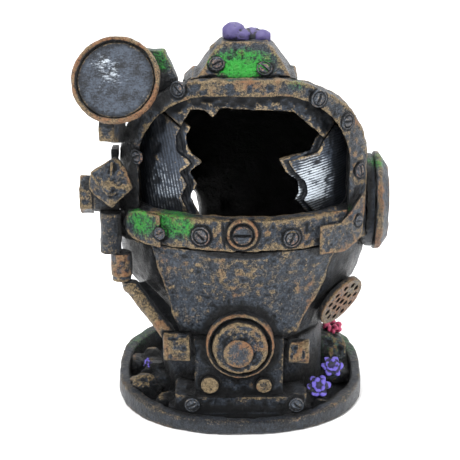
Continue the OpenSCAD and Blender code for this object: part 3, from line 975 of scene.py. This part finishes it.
    @staticmethod
    def groove_line(points: np.ndarray, groove: Groove) -> np.ndarray:
        """How strongly each corner lies on an engraved line."""
        start = np.array(groove.start)
        along = np.array(groove.end) - start
        share = np.clip((points - start) @ along / (along @ along), 0, 1)
        away = np.linalg.norm(points - start - share[:, None] * along, axis=1)
        return np.exp(-(away / groove.width) ** 2)

    @staticmethod
    def dabbed(points: np.ndarray, dabs: Sequence[Dab], mask: Mask) -> np.ndarray:
        """The sum of a mask's dabs at each corner."""
        total = np.zeros(len(points))
        for dab in dabs:
            if dab.mask is mask:
                away = (points - np.array(dab.centre)) / np.array(dab.radii)
                total += dab.strength * np.clip(DAB_EDGE - (away ** 2).sum(1), 0, 1)
        return total

    @staticmethod
    def facing_in(points: np.ndarray, normals: np.ndarray) -> np.ndarray:
        """1 where a wall faces the middle of the helmet."""
        middle = helmet_middle()
        inward = ((middle - points) * (1, 1, 0.8) * normals).sum(1)
        inward /= np.linalg.norm(middle - points, axis=1).clip(1)
        return np.clip(inward * 2.5, 0, 1)


# ------------------------------------------------------------------ sub-assemblies

SPIRAL = 2.4                     # radians from each lump to the next, so that none line up


@dataclass
class Assembly:
    """A group of pieces that the foundry casts together."""
    foundry: Foundry

    def turned(self, name: str, node: str, profile: Pairs, steps: int = FINE_TURN,
               **how: object) -> None:
        """Turns a piece on the axis of the round node that it replaces, and casts it.

        Args:
            name: name of the piece.
            node: the round node.
            profile: its outline, as lathe takes it.
            steps: faces round the turn.
            how: the rest of what Foundry.cast takes.
        """
        self.foundry.cast(name, [node], lathe(discs_of(node)[0], profile, steps), **how)


@dataclass
class Screws(Assembly):
    """Slotted screw heads, one piece to each group."""
    groups: Sequence[str] = ("frame_screws", "bar_rivets", "crown_screws", "base_rivets")
    stud: Pairs = ((0, 0), (1, 0), (1, 0.6), (0.94, 0.82), (0.84, 0.84), (0.78, 0.4), (0.7, 0.4),
                   (0.64, 0.86), (0.4, 0.98), (0, 1))
    slot_length: float = 1.3     # share of the head's radius
    slot_width: float = 0.24
    slot_depth: float = 0.8      # share of its height
    first_turn: float = 0.5
    next_turn: float = 1.9

    def build(self) -> None:
        """Turns, slots and paints every group."""
        for node in self.groups:
            heads: Optional[bmesh.types.BMesh] = None
            for number, disc in enumerate(discs_of(node)):
                turn = Matrix.Rotation(self.first_turn + number * self.next_turn, 4, "Z")
                size = Matrix.Diagonal((self.slot_length * disc.radius,
                                        self.slot_width * disc.radius,
                                        self.slot_depth * disc.height, 1))
                slot = disc.matrix() @ Matrix.Translation((0, 0, disc.height)) @ turn @ size
                heads = joined(heads, cut(lathe(disc, self.stud), slot))
            self.foundry.cast(node + "_heads", [node], heads, voxel=0.16, rounds=1,
                              lumps=((1.2, 0.12),), ringed=False, wear=0.06)


@dataclass
class Helmet(Assembly):
    """The round shell with its hood, the window frame and the crown."""
    skin_voxel: float = 0.7
    frame_voxel: float = 0.42
    crown_rocks: Sequence[tuple[float, float, float, float]] = (
        (0.3, 0.55, 0.93, 2.6), (0.72, 0.5, 0.9, 2.4), (0.5, 0.35, 0.9, 2.2))
    sunk: float = 0.12           # how far the rocks stand in the crown

    def build(self) -> None:
        """Casts the shell, the frame and the crown."""
        cast, shell, port = self.foundry.cast, span("helmet_shell"), span("side_port_ring")
        cast("helmet_casting", ["helmet_shell", "window_hood"], voxel=self.skin_voxel, rounds=6,
             lumps=((7, 0.8), (2.6, 0.7)), inside=True, seed=3,
             # painted shadow low on the front of the shell, at the left and the right
             dabs=[Dab(Mask.SHADE, shell.at(0.13, 0.22, 0.24), (8, 12, 12), 0.75),
                   Dab(Mask.SHADE, shell.at(0.89, 0.22, 0.24), (7, 12, 12), 0.6),
                   Dab(Mask.WEAR, shell.at(0.5, 1.0, 0.6), (34, 26, 34), 0.1),
                   Dab(Mask.ALGAE, shell.at(0.8, 0.85, 0.1), (14, 12, 8), 0.45),
                   Dab(Mask.ALGAE, shell.at(0.2, 0.8, 0.75), (12, 12, 9), 0.4),
                   Dab(Mask.ALGAE, port.at(0.1, 0.5, 1.0), (6, 8, 4), 0.7),
                   Dab(Mask.ALGAE, shell.at(0.62, 0.12, 1.02), (7, 8, 3), 0.5)])
        arch = span("window_frame")
        cast("window_frame_casting", ["window_frame"], voxel=self.frame_voxel, rounds=3,
             lumps=((5, 0.4), (1.9, 0.5), (1.1, 0.2)), wear=0.02, seed=4,
             dabs=[Dab(Mask.ALGAE, arch.at(0.7, 0.1, 0.97), (4, 6, 2.4), 0.6),
                   Dab(Mask.ALGAE, arch.at(0.9, 0.4, 0.2), (3.5, 6, 2.6), 0.75)])
        self.crown()

    def crown(self) -> None:
        """Casts the crown with its green slope."""
        crown = span("crown_cap")
        rock = merged("crown_cap")
        for x, y, z, r in self.crown_rocks:
            blob(rock, crown.at(x, y, z - self.sunk), (r, r * 1.3, r * 0.8))
        self.foundry.cast(
            "crown_casting", ["crown_cap"], rock, voxel=0.36, rounds=4,
            lumps=((5, 0.5), (1.8, 0.35)), wear=-0.02, seed=6,
            dabs=[Dab(Mask.ALGAE, crown.at(0.52, 0.12, 0.7), (11.5, 9, 4.6), 1.0),
                  Dab(Mask.ALGAE, crown.at(0.5, 0.1, 0.52), (8, 7, 3.2), 0.6)])


@dataclass
class Pane(Assembly):
    """What is left of the broken window."""
    shard_voxel: float = 0.34

    def build(self) -> None:
        """Casts the shards at the left, the right and the top."""
        cast, left, right = self.foundry.cast, span("glass_left"), span("glass_right")
        cast("left_shard", ["glass_left"], voxel=self.shard_voxel, rounds=4,
             lumps=((3.2, 1.0), (1.2, 0.25)), seed=8,
             recipe=ScratchedSilver(ground=rgb(38, 42, 49), cover=-0.04, ribs_per_mm=1.1,
                                    ribs_step="X", turn=(0.0, 1.2, 0.0)),
             dabs=[Dab(Mask.SILVER, left.at(0.4, 0.4, 0.35), (8, 14, 11), 0.55),
                   Dab(Mask.ALGAE, left.at(0.75, 0.3, 0.02), (6, 8, 3.0), 0.8)])
        cast("right_shard", ["glass_right"], voxel=self.shard_voxel, rounds=4,
             lumps=((3.2, 0.6), (1.2, 0.2)), seed=9,
             recipe=ScratchedSilver(ground=rgb(34, 38, 45), cover=0.04, ribs_per_mm=1.25,
                                    turn=(0.0, 0.2, 0.0)),
             dabs=[Dab(Mask.SILVER, right.at(0.45, 0.3, 0.5), (7.5, 14, 9.5), 1.0),
                   Dab(Mask.ALGAE, right.at(0.62, 0.4, 0.1), (6, 10, 4.2), 0.9)])
        cast("top_shards", ["glass_top"], voxel=0.36, rounds=4,
             lumps=((2.6, 0.9), (1.2, 0.4)), seed=10)


@dataclass
class LowerBar(Assembly):
    """The bar under the window with its end pieces and its big screw."""
    seams: Sequence[float] = (0.27, 0.41, 0.83)
    screw: Pairs = ((0, 0), (1, 0), (1, 0.42), (0.94, 0.62), (0.82, 0.64), (0.74, 0.5),
                    (0.69, 0.3), (0.63, 0.34), (0.61, 0.86), (0.5, 0.97), (0, 1))
    slot_length: float = 1.3     # share of the screw's radius
    slot_width: float = 0.8      # in millimetres, as is its depth
    slot_depth: float = 1.3

    def build(self) -> None:
        """Casts the bar and its fittings."""
        cast, bar = self.foundry.cast, span("lower_bar")
        seams = [Groove(bar.at(x, 0.0, 0.0), bar.at(x - 0.01, 0.0, 1.0), 0.45, 0.5)
                 for x in self.seams]
        cast("lower_bar_casting", ["lower_bar"], voxel=0.36, rounds=4, seed=12, wear=0.03,
             lumps=((4, 0.5), (1.7, 0.45), (1.0, 0.2)), grooves=seams,
             dabs=[Dab(Mask.ALGAE, bar.at(0.17, 0.2, 0.75), (9, 12, 5.5), 0.95)])
        left = span("bar_left_end")
        cast("algae_end_piece", ["bar_left_end"], voxel=0.26, rounds=3, seed=13,
             lumps=((2.4, 0.3), (1.0, 0.2)),
             dabs=[Dab(Mask.ALGAE, left.at(0.5, 0.3, 0.65), (8, 6, 5.5), 0.95)])
        right = span("bar_right_end")
        cast("rusty_end_piece", ["bar_right_end"], voxel=0.28, rounds=3, seed=14,
             lumps=((3, 0.4), (1.2, 0.3)), wear=0.02,
             grooves=[Groove(right.at(0.3, 0.1, 0.2), right.at(0.32, 0.1, 0.2), 0.7, 0.9)])
        self.centre_screw()

    def centre_screw(self) -> None:
        """Turns the big two-tier screw and cuts its slot."""
        disc = discs_of("centre_screw")[0]
        slot = (disc.matrix() @ Matrix.Translation((0, 0, disc.height)) @ Matrix.Diagonal(
            (disc.radius * self.slot_length, self.slot_width, self.slot_depth, 1)))
        inner = Dab(Mask.WEAR, disc.seat + disc.axis * disc.height, (2.9, 2.0, 2.9), -0.5)
        self.foundry.cast("centre_screw_head", ["centre_screw"],
                          cut(lathe(disc, self.screw), slot), voxel=0.17, rounds=1,
                          lumps=((1.4, 0.14),), dabs=[inner], ringed=False, seed=15)


@dataclass
class Lamp(Assembly):
    """The round lamp on the upper left."""
    rim: Pairs = ((0.87, 0.0), (1, 0.0), (1, 0.62), (0.97, 0.88), (0.935, 1.0), (0.9, 0.9),
                  (0.87, 0.55), (0.87, 0.0))
    face: Pairs = ((0, 0), (1, 0), (1, 0.55), (0.93, 0.6), (0.88, 0.74), (0.6, 0.9), (0, 1))

    def build(self) -> None:
        """Casts the housing, turns the bezel and the lens, and casts the lugs."""
        cast = self.foundry.cast
        cast("lamp_bowl", ["lamp_housing"], voxel=0.42, rounds=5,
             lumps=((4, 0.4), (1.6, 0.25)), seed=18)
        self.turned("lamp_rim", "lamp_bezel", self.rim, voxel=0.22, rounds=2,
                    lumps=((3.2, 0.3), (1.1, 0.18)), wear=-0.02, seed=19)
        self.lens()
        upper = span("lamp_upper_lug")
        cast("lamp_upper_bracket", ["lamp_upper_lug"], voxel=0.34, rounds=5, seed=21,
             lumps=((3, 0.5), (1.2, 0.25)), wear=-0.12,
             dabs=[Dab(Mask.ALGAE, upper.at(0.55, 0.3, 0.85), (6, 6, 5), 0.7)])
        cast("lamp_lower_bracket", ["lamp_lower_lug"], voxel=0.34, rounds=5, seed=22,
             lumps=((3, 0.4), (1.2, 0.25)), wear=-0.02)

    def lens(self) -> None:
        """Turns the lens, with its silver brushed on above the middle."""
        disc = discs_of("lamp_lens")[0]
        front = disc.seat + disc.axis * disc.height
        up = Vector((0, 0, 1)) - disc.axis * disc.axis.z
        left = Vector((-1, 0, 0))
        self.turned("lamp_lens_face", "lamp_lens", self.face, voxel=0.3, rounds=2,
                    lumps=((2.4, 0.22),), seed=20,
                    recipe=ScratchedSilver(cover=-0.06, turn=(0, 0.9, 0)),
                    dabs=[Dab(Mask.SILVER, front + up * 1.0 + left * 1.0, (7.6, 7.6, 7.6), 0.42),
                          Dab(Mask.SILVER, front + up * 2.6 + left * 1.6, (3.4, 3.4, 4.2), 0.3),
                          Dab(Mask.SILVER, front + up * 6.6 + left * 5.5, (4.0, 4.0, 3.0), 0.4)])


@dataclass
class Regulator(Assembly):
    """The round regulator with its side nuts, the block under it and the chin panel above."""
    rim: Pairs = ((0.865, 0.0), (1, 0.0), (1, 0.6), (0.985, 0.88), (0.94, 1.0), (0.885, 0.9),
                  (0.865, 0.6), (0.865, 0.0))
    dish: Pairs = ((0, 0), (1, 0), (1, 0.84), (0.955, 0.97), (0.9, 1.0), (0.84, 0.97),
                   (0.62, 0.96), (0.58, 0.91), (0.54, 0.96), (0, 0.98))
    dome: Pairs = ((0, 0), (1, 0), (1, 0.35), (0.92, 0.75), (0.7, 0.95), (0, 1))
    rough: Pairs = ((5, 0.7), (2.2, 0.4), (1.2, 0.2))
    backing: Sequence[float] = (0.8, 1.6, 2.4)       # layers that thicken the chin panel

    def build(self) -> None:
        """Turns the round parts and casts the rest."""
        self.turned("regulator_rim", "regulator_ring", self.rim, voxel=0.24, rounds=2,
                    lumps=((3, 0.3), (1.2, 0.2)), wear=-0.04, ringed=False, seed=25)
        self.turned("regulator_dish", "regulator_cover", self.dish, voxel=0.28, rounds=2,
                    lumps=((2.8, 0.4), (1.1, 0.25)), wear=0.12, ringed=False, seed=26)
        self.turned("purge_button_dome", "purge_button", self.dome, COARSE_TURN, voxel=0.2,
                    rounds=2, lumps=((2.2, 0.3), (0.9, 0.15)), wear=0.05, ringed=False, seed=27)
        for number, node in enumerate(("left_clamp", "right_clamp")):
            nut = span(node)
            band = [Groove(nut.at(x, 0.0, z), nut.at(x, 0.0, z + 0.1), 0.4, 0.3)
                    for x in (0.3, 0.75) for z in (0.2, 0.4, 0.6, 0.75)]
            self.foundry.cast(f"{node}_nut", [node], voxel=0.34, rounds=5, seed=28 + number,
                              lumps=((3, 0.7), (1.4, 0.4)), wear=0.08,
                              grooves=band if number else ())
        self.block()
        self.chin()

    def block(self) -> None:
        """Casts the pegs and the block that they stand on."""
        cast, pegs, box = self.foundry.cast, span("block_pegs"), span("front_block")
        cast("block_pegs_casting", ["block_pegs"], voxel=0.24, lumps=((1.5, 0.15),), seed=31,
             ringed=False, dabs=[Dab(Mask.WEAR, pegs.at(0.1, 0.5, 0.6), (4, 4, 4), 0.4)])
        cast("front_block_casting", ["front_block"], lumps=self.rough, seed=32,
             dabs=[Dab(Mask.WEAR, box.at(0.5, 0.0, 0.6), (16, 9, 12), 0.12)])

    def chin(self) -> None:
        """Casts the chin panel, backed by layers so that its thin edges keep their skin."""
        box = span("chin_panel")
        shape = merged("chin_panel")
        for step in self.backing:
            layer = merged("chin_panel")
            bmesh.ops.translate(layer, verts=layer.verts, vec=(0, step, 0))
            joined(shape, layer)
        self.foundry.cast(
            "chin_panel_casting", ["chin_panel"], shape, lumps=self.rough, seed=33,
            grooves=[Groove(box.at(0.72, 0.02, 0.97), box.at(0.69, 0.1, 0.52), 0.6, 0.55),
                     # painted shadow: a dark line along the top of the panel, under the bar
                     Groove(box.at(0.31, 0.02, 0.95), box.at(0.7, 0.0, 0.95), 0.9, 0.7)],
            # painted shadow under the bar
            dabs=[Dab(Mask.SHADE, box.at(0.45, 0.02, 0.98), (13, 9, 1.3), 0.9),
                  Dab(Mask.WEAR, box.at(0.45, 0.1, 0.72), (9, 9, 7), 0.13),
                  Dab(Mask.WEAR, box.at(0.9, 0.2, 0.55), (4, 9, 14), 0.1)])


@dataclass
class Valve(Assembly):
    """The valve, its knob and the pipe that runs down to the chin."""
    plain: Sequence[tuple[str, float]] = (       # each node and its wear
        ("valve_body", -0.05), ("valve_knob", -0.04), ("side_lug", 0.0), ("down_pipe", -0.06),
        ("pipe_union", -0.04), ("diagonal_tube", 0.0))
    ridges: Sequence[tuple[float, float, float]] = (
        (0.1, 0.7, 0.62), (0.55, 0.45, 0.9), (0.94, 0.4, 0.5))
    ridge_radius: float = 0.55

    def build(self) -> None:
        """Casts the plain parts, then the cap with three ridges that meet at a small hole."""
        for number, (node, wear) in enumerate(self.plain):
            self.foundry.cast(f"{node}_casting", [node], voxel=0.3, rounds=2, wear=wear,
                              lumps=((3, 0.35), (1.3, 0.25)), seed=36 + number)
        box = span("valve_cap")
        cap = merged("valve_cap")
        meet = box.at(0.5, 0.05, 0.28)
        for ridge in self.ridges:
            rod(cap, meet, box.at(*ridge), self.ridge_radius)
        self.foundry.cast("valve_cap_casting", ["valve_cap"], cap, voxel=0.24, rounds=2, seed=44,
                          lumps=((2.2, 0.3), (0.9, 0.2)), wear=-0.02,
                          grooves=[Groove(meet, meet + Vector((0.01, 0.5, -0.4)), 0.6, 0.8)])


@dataclass
class Ports(Assembly):
    """The side port and the perforated exhaust on the right."""
    dome: Pairs = ((0, 0), (1, 0), (1, 0.5), (0.9, 0.7), (0.5, 0.95), (0, 1))

    def build(self) -> None:
        """Casts both ports."""
        cast, ring, pane = self.foundry.cast, span("side_port_ring"), span("side_port_glass")
        green = [Dab(Mask.ALGAE, ring.at(0.4, 0.3, 0.97), (6, 8, 2.4), 0.75)]
        cast("side_port_collar", ["side_port_neck"], voxel=0.42, rounds=4, seed=46,
             lumps=((4, 0.4), (1.4, 0.25)), wear=-0.1, dabs=green)
        cast("side_port_rim", ["side_port_ring"], voxel=0.36, rounds=4, seed=47,
             lumps=((4, 0.5), (1.6, 0.3)), wear=-0.14, dabs=green)
        self.turned("side_port_pane", "side_port_glass", self.dome, COARSE_TURN, voxel=0.3,
                    rounds=2, lumps=((2.4, 0.25),), seed=48,
                    dabs=[Dab(Mask.SILVER, pane.at(1, 0.4, 0.6), (4, 6, 6), 0.5)])
        cast("exhaust_collar", ["exhaust_neck"], voxel=0.34, rounds=4, seed=49,
             lumps=((3, 0.4), (1.2, 0.2)), wear=-0.16)
        cast("exhaust_grille", ["exhaust_plate"], voxel=0.2, rounds=2, seed=50,
             lumps=((2.4, 0.25), (1.0, 0.12)), wear=0.1)


@dataclass
class Tray(Assembly):
    """The tray, the neck that stands in it, and the rocks and growth round the neck."""
    leaning: int = 9             # smaller stones that lean on each rock
    whorls: Pairs = ((0.46, 0.3), (0.28, 0.8))       # reach and tilt of a flower's petals
    coral_lumps: Sequence[tuple[float, float, float, float]] = (
        (0.24, 0.45, 0.6, 0.27), (0.4, 0.3, 0.5, 0.2), (0.62, 0.6, 0.42, 0.24),
        (0.82, 0.45, 0.4, 0.22), (0.3, 0.75, 0.4, 0.22))
    fans: int = 14               # lumps in the pink coral

    def build(self) -> None:
        """Casts the tray and its neck, then everything that grows there."""
        cast, tray, mound = self.foundry.cast, span("base_tray"), span("weed_mound")
        cast("tray_casting", ["base_tray"], voxel=0.62, rounds=6,
             lumps=((9, 0.7), (2.6, 0.35)), wear=-0.05, seed=52,
             dabs=[Dab(Mask.ALGAE, tray.at(0.08, 0.75, 0.9), (9, 10, 6), 0.55),
                   Dab(Mask.ALGAE, tray.at(0.93, 0.72, 0.9), (9, 12, 6), 0.65),
                   Dab(Mask.WEAR, tray.at(0.5, 0.0, 0.1), (34, 6, 4), -0.12)])
        cast("neck_casting", ["neck"], voxel=0.7, seed=53, inside=True,
             lumps=((4, 0.5), (1.6, 0.3)), wear=-0.08)
        self.rocks()
        cast("weed_bank", ["weed_mound"], voxel=0.42, seed=55,
             lumps=((4, 1.2), (1.7, 0.8), (0.9, 0.3)), wear=-0.08,
             dabs=[Dab(Mask.ALGAE, mound.at(0.75, 0.35, 0.75), (13, 16, 7), 0.42)])
        self.flowers()
        self.crown_coral()
        self.pink_coral()

    def rocks(self) -> None:
        """Casts the rubble, each stone with smaller ones leaning on it."""
        heap = bmesh.new()
        for number, box in enumerate(boxes_of("tray_rocks")):
            for turn in range(self.leaning):
                angle = turn * SPIRAL + number
                size = 0.3 + 0.16 * math.sin(turn * 5.1 + number)
                where = box.at(0.5 + 0.33 * math.cos(angle), 0.5 + 0.33 * math.sin(angle),
                               0.28 + 0.05 * (turn % 4))
                blob(heap, where, [side * size for side in box.size],
                     Matrix.Rotation(angle, 4, "X"))
            blob(heap, box.at(0.5, 0.5, 0.2), [side * 0.42 for side in box.size])
        self.foundry.cast("tray_rubble", ["tray_rocks"], heap, voxel=0.32, rounds=2, seed=54,
                          lumps=((2, 0.5), (0.9, 0.25)), wear=0.12)

    def flowers(self) -> None:
        """Builds the star-shaped flowers and the bud from petals."""
        for node, petals in (("purple_flowers", 6), ("purple_bud", 5)):
            bunch = bmesh.new()
            for number, box in enumerate(boxes_of(node)):
                self.flower(bunch, box, petals, number)
            self.foundry.cast(f"{node}_petals", [node], bunch, voxel=0.17, rounds=1,
                              lumps=((1.3, 0.7), (0.7, 0.2)), ringed=False, seed=56)

    def flower(self, bunch: bmesh.types.BMesh, box: Span, petals: int, number: int) -> None:
        """Adds one flower that faces forward and up.

        Args:
            bunch: the mesh that it is added to.
            box: the box that it fills.
            petals: petals in its outer whorl.
            number: which flower, for its turn.
        """
        radius = max(box.size) / 2
        middle = box.at(0.5, 0.45, 0.5)
        ahead = facing(Vector((0.1, -0.75, 0.7)))
        for whorl, (reach, tilt) in enumerate(self.whorls):
            count = petals - whorl
            for petal in range(count):
                turn = Matrix.Rotation(math.tau * petal / count + number + whorl * 0.5, 4, "Z")
                place = ahead @ turn @ Matrix.Rotation(-tilt, 4, "Y")
                centre = middle + (place @ Vector((reach * radius, 0, 0)))
                blob(bunch, centre, (radius * 0.58, radius * 0.36, radius * 0.2), place)
        blob(bunch, middle, (radius * 0.4,) * 3)

    def crown_coral(self) -> None:
        """Builds the lumps of coral on the crown."""
        crown = span("crown_corals")
        lumps = bmesh.new()
        for x, y, z, r in self.coral_lumps:
            reach = max(crown.size) * r
            blob(lumps, crown.at(x, y, z), (reach, reach * 0.9, reach * 0.8))
        self.foundry.cast("crown_coral_lumps", ["crown_corals"], lumps, voxel=0.24, rounds=2,
                          lumps=((1.6, 0.5), (0.8, 0.2)), ringed=False, seed=60,
                          recipe=BodyColour(rgb(70, 62, 108), rgb(20, 18, 30)))

    def pink_coral(self) -> None:
        """Builds the pink coral at the back."""
        pink = span("pink_coral")
        fans = bmesh.new()
        for turn in range(self.fans):
            angle = turn * SPIRAL
            where = pink.at(0.5 + 0.3 * math.cos(angle), 0.5 + 0.3 * math.sin(angle),
                            0.35 + 0.03 * turn)
            blob(fans, where, (1.3, 0.8, 1.1), Matrix.Rotation(angle, 4, "Z"))
        self.foundry.cast("pink_coral_fans", ["pink_coral"], fans, voxel=0.2, rounds=1, seed=61,
                          lumps=((0.8, 0.15),), ringed=False)


@dataclass
class AirLine(Assembly):
    """The grommet, the connector and its barbs, the elbow and the air stone."""
    shank: float = 2.4
    bore: float = 1.3
    barbs: int = 3

    def build(self) -> None:
        """Builds the fittings from the back of the neck inwards."""
        cast = self.foundry.cast
        cast("grommet", ["inlet_grommet"], voxel=0.18, rounds=2, lumps=(), ringed=False)
        self.connector()
        cast("elbow", ["air_elbow"], voxel=0.28, rounds=2, lumps=(), ringed=False)
        cast("air_stone_block", ["air_stone"], rounds=1, lumps=((1.1, 0.5), (0.6, 0.2)),
             ringed=False, seed=66)

    def connector(self) -> None:
        """Turns the straight connector with barbs at its open end."""
        box = span("air_connector")
        whole = Disc(box.at(0.5, 0.0, 0.5), Vector((0, 1, 0)), box.size.x / 2, box.size.y)
        shank = self.shank / whole.radius
        bore = self.bore / whole.radius
        profile = [(bore, 0.0), (shank * 0.97, 0.0), (shank, 0.02), (shank, 0.342), (1, 0.345),
                   (1, 0.425), (shank * 0.93, 0.43)]
        for barb in range(self.barbs):
            start = 0.55 + barb * 0.13
            profile += [(shank * 0.88, start), (shank, start + 0.02), (shank * 0.86, start + 0.11)]
        profile += [(shank * 0.75, 1.0), (bore, 1.0), (bore, 0.0)]
        self.foundry.cast("barbed_connector", ["air_connector"], lathe(whole, profile, 64),
                          voxel=0.16, rounds=1, lumps=(), ringed=False)


@dataclass
class Studio:
    """Plain floor, soft lights and the camera."""
    camera_at: tuple[float, float, float] = (-0.00322, -0.43714, 0.19638)
    look_down: float = 18.14     # degrees
    lens: float = 115.475        # millimetres, on a sensor of the next width
    sensor: float = 36
    room_light: float = 0.95
    aim: tuple[float, float, float] = (0, 0, 0.06)
    lights: Sequence[tuple[str, tuple[float, float, float], float, float]] = (
        ("key", (-0.3, -0.7, 0.8), 0.28, 10.0), ("fill", (0.7, -0.5, 0.35), 0.7, 1.8),
        ("top", (0.05, 0.15, 0.95), 0.5, 6.0), ("back", (0.3, 0.8, 0.6), 0.8, 3.0))

    def build(self) -> None:
        """Lays the floor, hangs the lights and sets the room and the camera."""
        self.floor()
        for light in self.lights:
            self.light(*light)
        world = bpy.data.worlds.new("room")
        world.use_nodes = True
        world.node_tree.nodes["Background"].inputs["Color"].default_value = (1, 1, 1, 1)
        world.node_tree.nodes["Background"].inputs["Strength"].default_value = self.room_light
        bpy.context.scene.world = world
        bpy.context.scene.view_settings.view_transform = "Standard"
        data = bpy.data.cameras.new("camera")
        data.lens = self.lens
        data.sensor_width = self.sensor
        camera = bpy.data.objects.new("camera", data)
        camera.location = self.camera_at
        camera.rotation_euler = (math.radians(90 - self.look_down), 0, 0)
        bpy.context.scene.collection.objects.link(camera)
        bpy.context.scene.camera = camera

    @staticmethod
    def floor() -> None:
        """Lays a wide pale floor."""
        plane = bmesh.new()
        bmesh.ops.create_grid(plane, x_segments=1, y_segments=1, size=3.0,
                              matrix=Matrix.Translation((0, 0, CAD_BOX[0].z)))
        floor = shown_object("floor", plane)
        bench = PaintBench("pale_floor")
        floor.data.materials.append(bench.finish(rgb(250, 250, 250), 0.9))

    def light(self, name: str, at: tuple[float, float, float], size: float,
              power: float) -> None:
        """Hangs a soft light that faces the helmet.

        Args:
            name: name of the light.
            at: its place in metres.
            size: its width in metres.
            power: its power in watts.
        """
        data = bpy.data.lights.new(name, "AREA")
        data.shape = "DISK"
        data.size = size
        data.energy = power
        lamp = bpy.data.objects.new(name, data)
        lamp.location = at
        aim = Vector(self.aim) - Vector(at)
        lamp.rotation_euler = aim.to_track_quat("-Z", "Y").to_euler()
        bpy.context.scene.collection.objects.link(lamp)


def main() -> None:
    """Builds the studio and every sub-assembly."""
    logging.basicConfig(level=logging.INFO, format="%(name)s %(message)s")
    Studio().build()
    foundry = Foundry(Crevices(), PaintShelf())
    for node in (*Screws.groups, "centre_screw", "block_pegs"):
        foundry.rings += discs_of(node)
    for part in (Tray, Helmet, Pane, LowerBar, Lamp, Regulator, Valve, Ports, Screws, AirLine):
        part(foundry).build()
    log.info("%d triangles in all", foundry.faces)


if __name__ == "__main__":
    main()
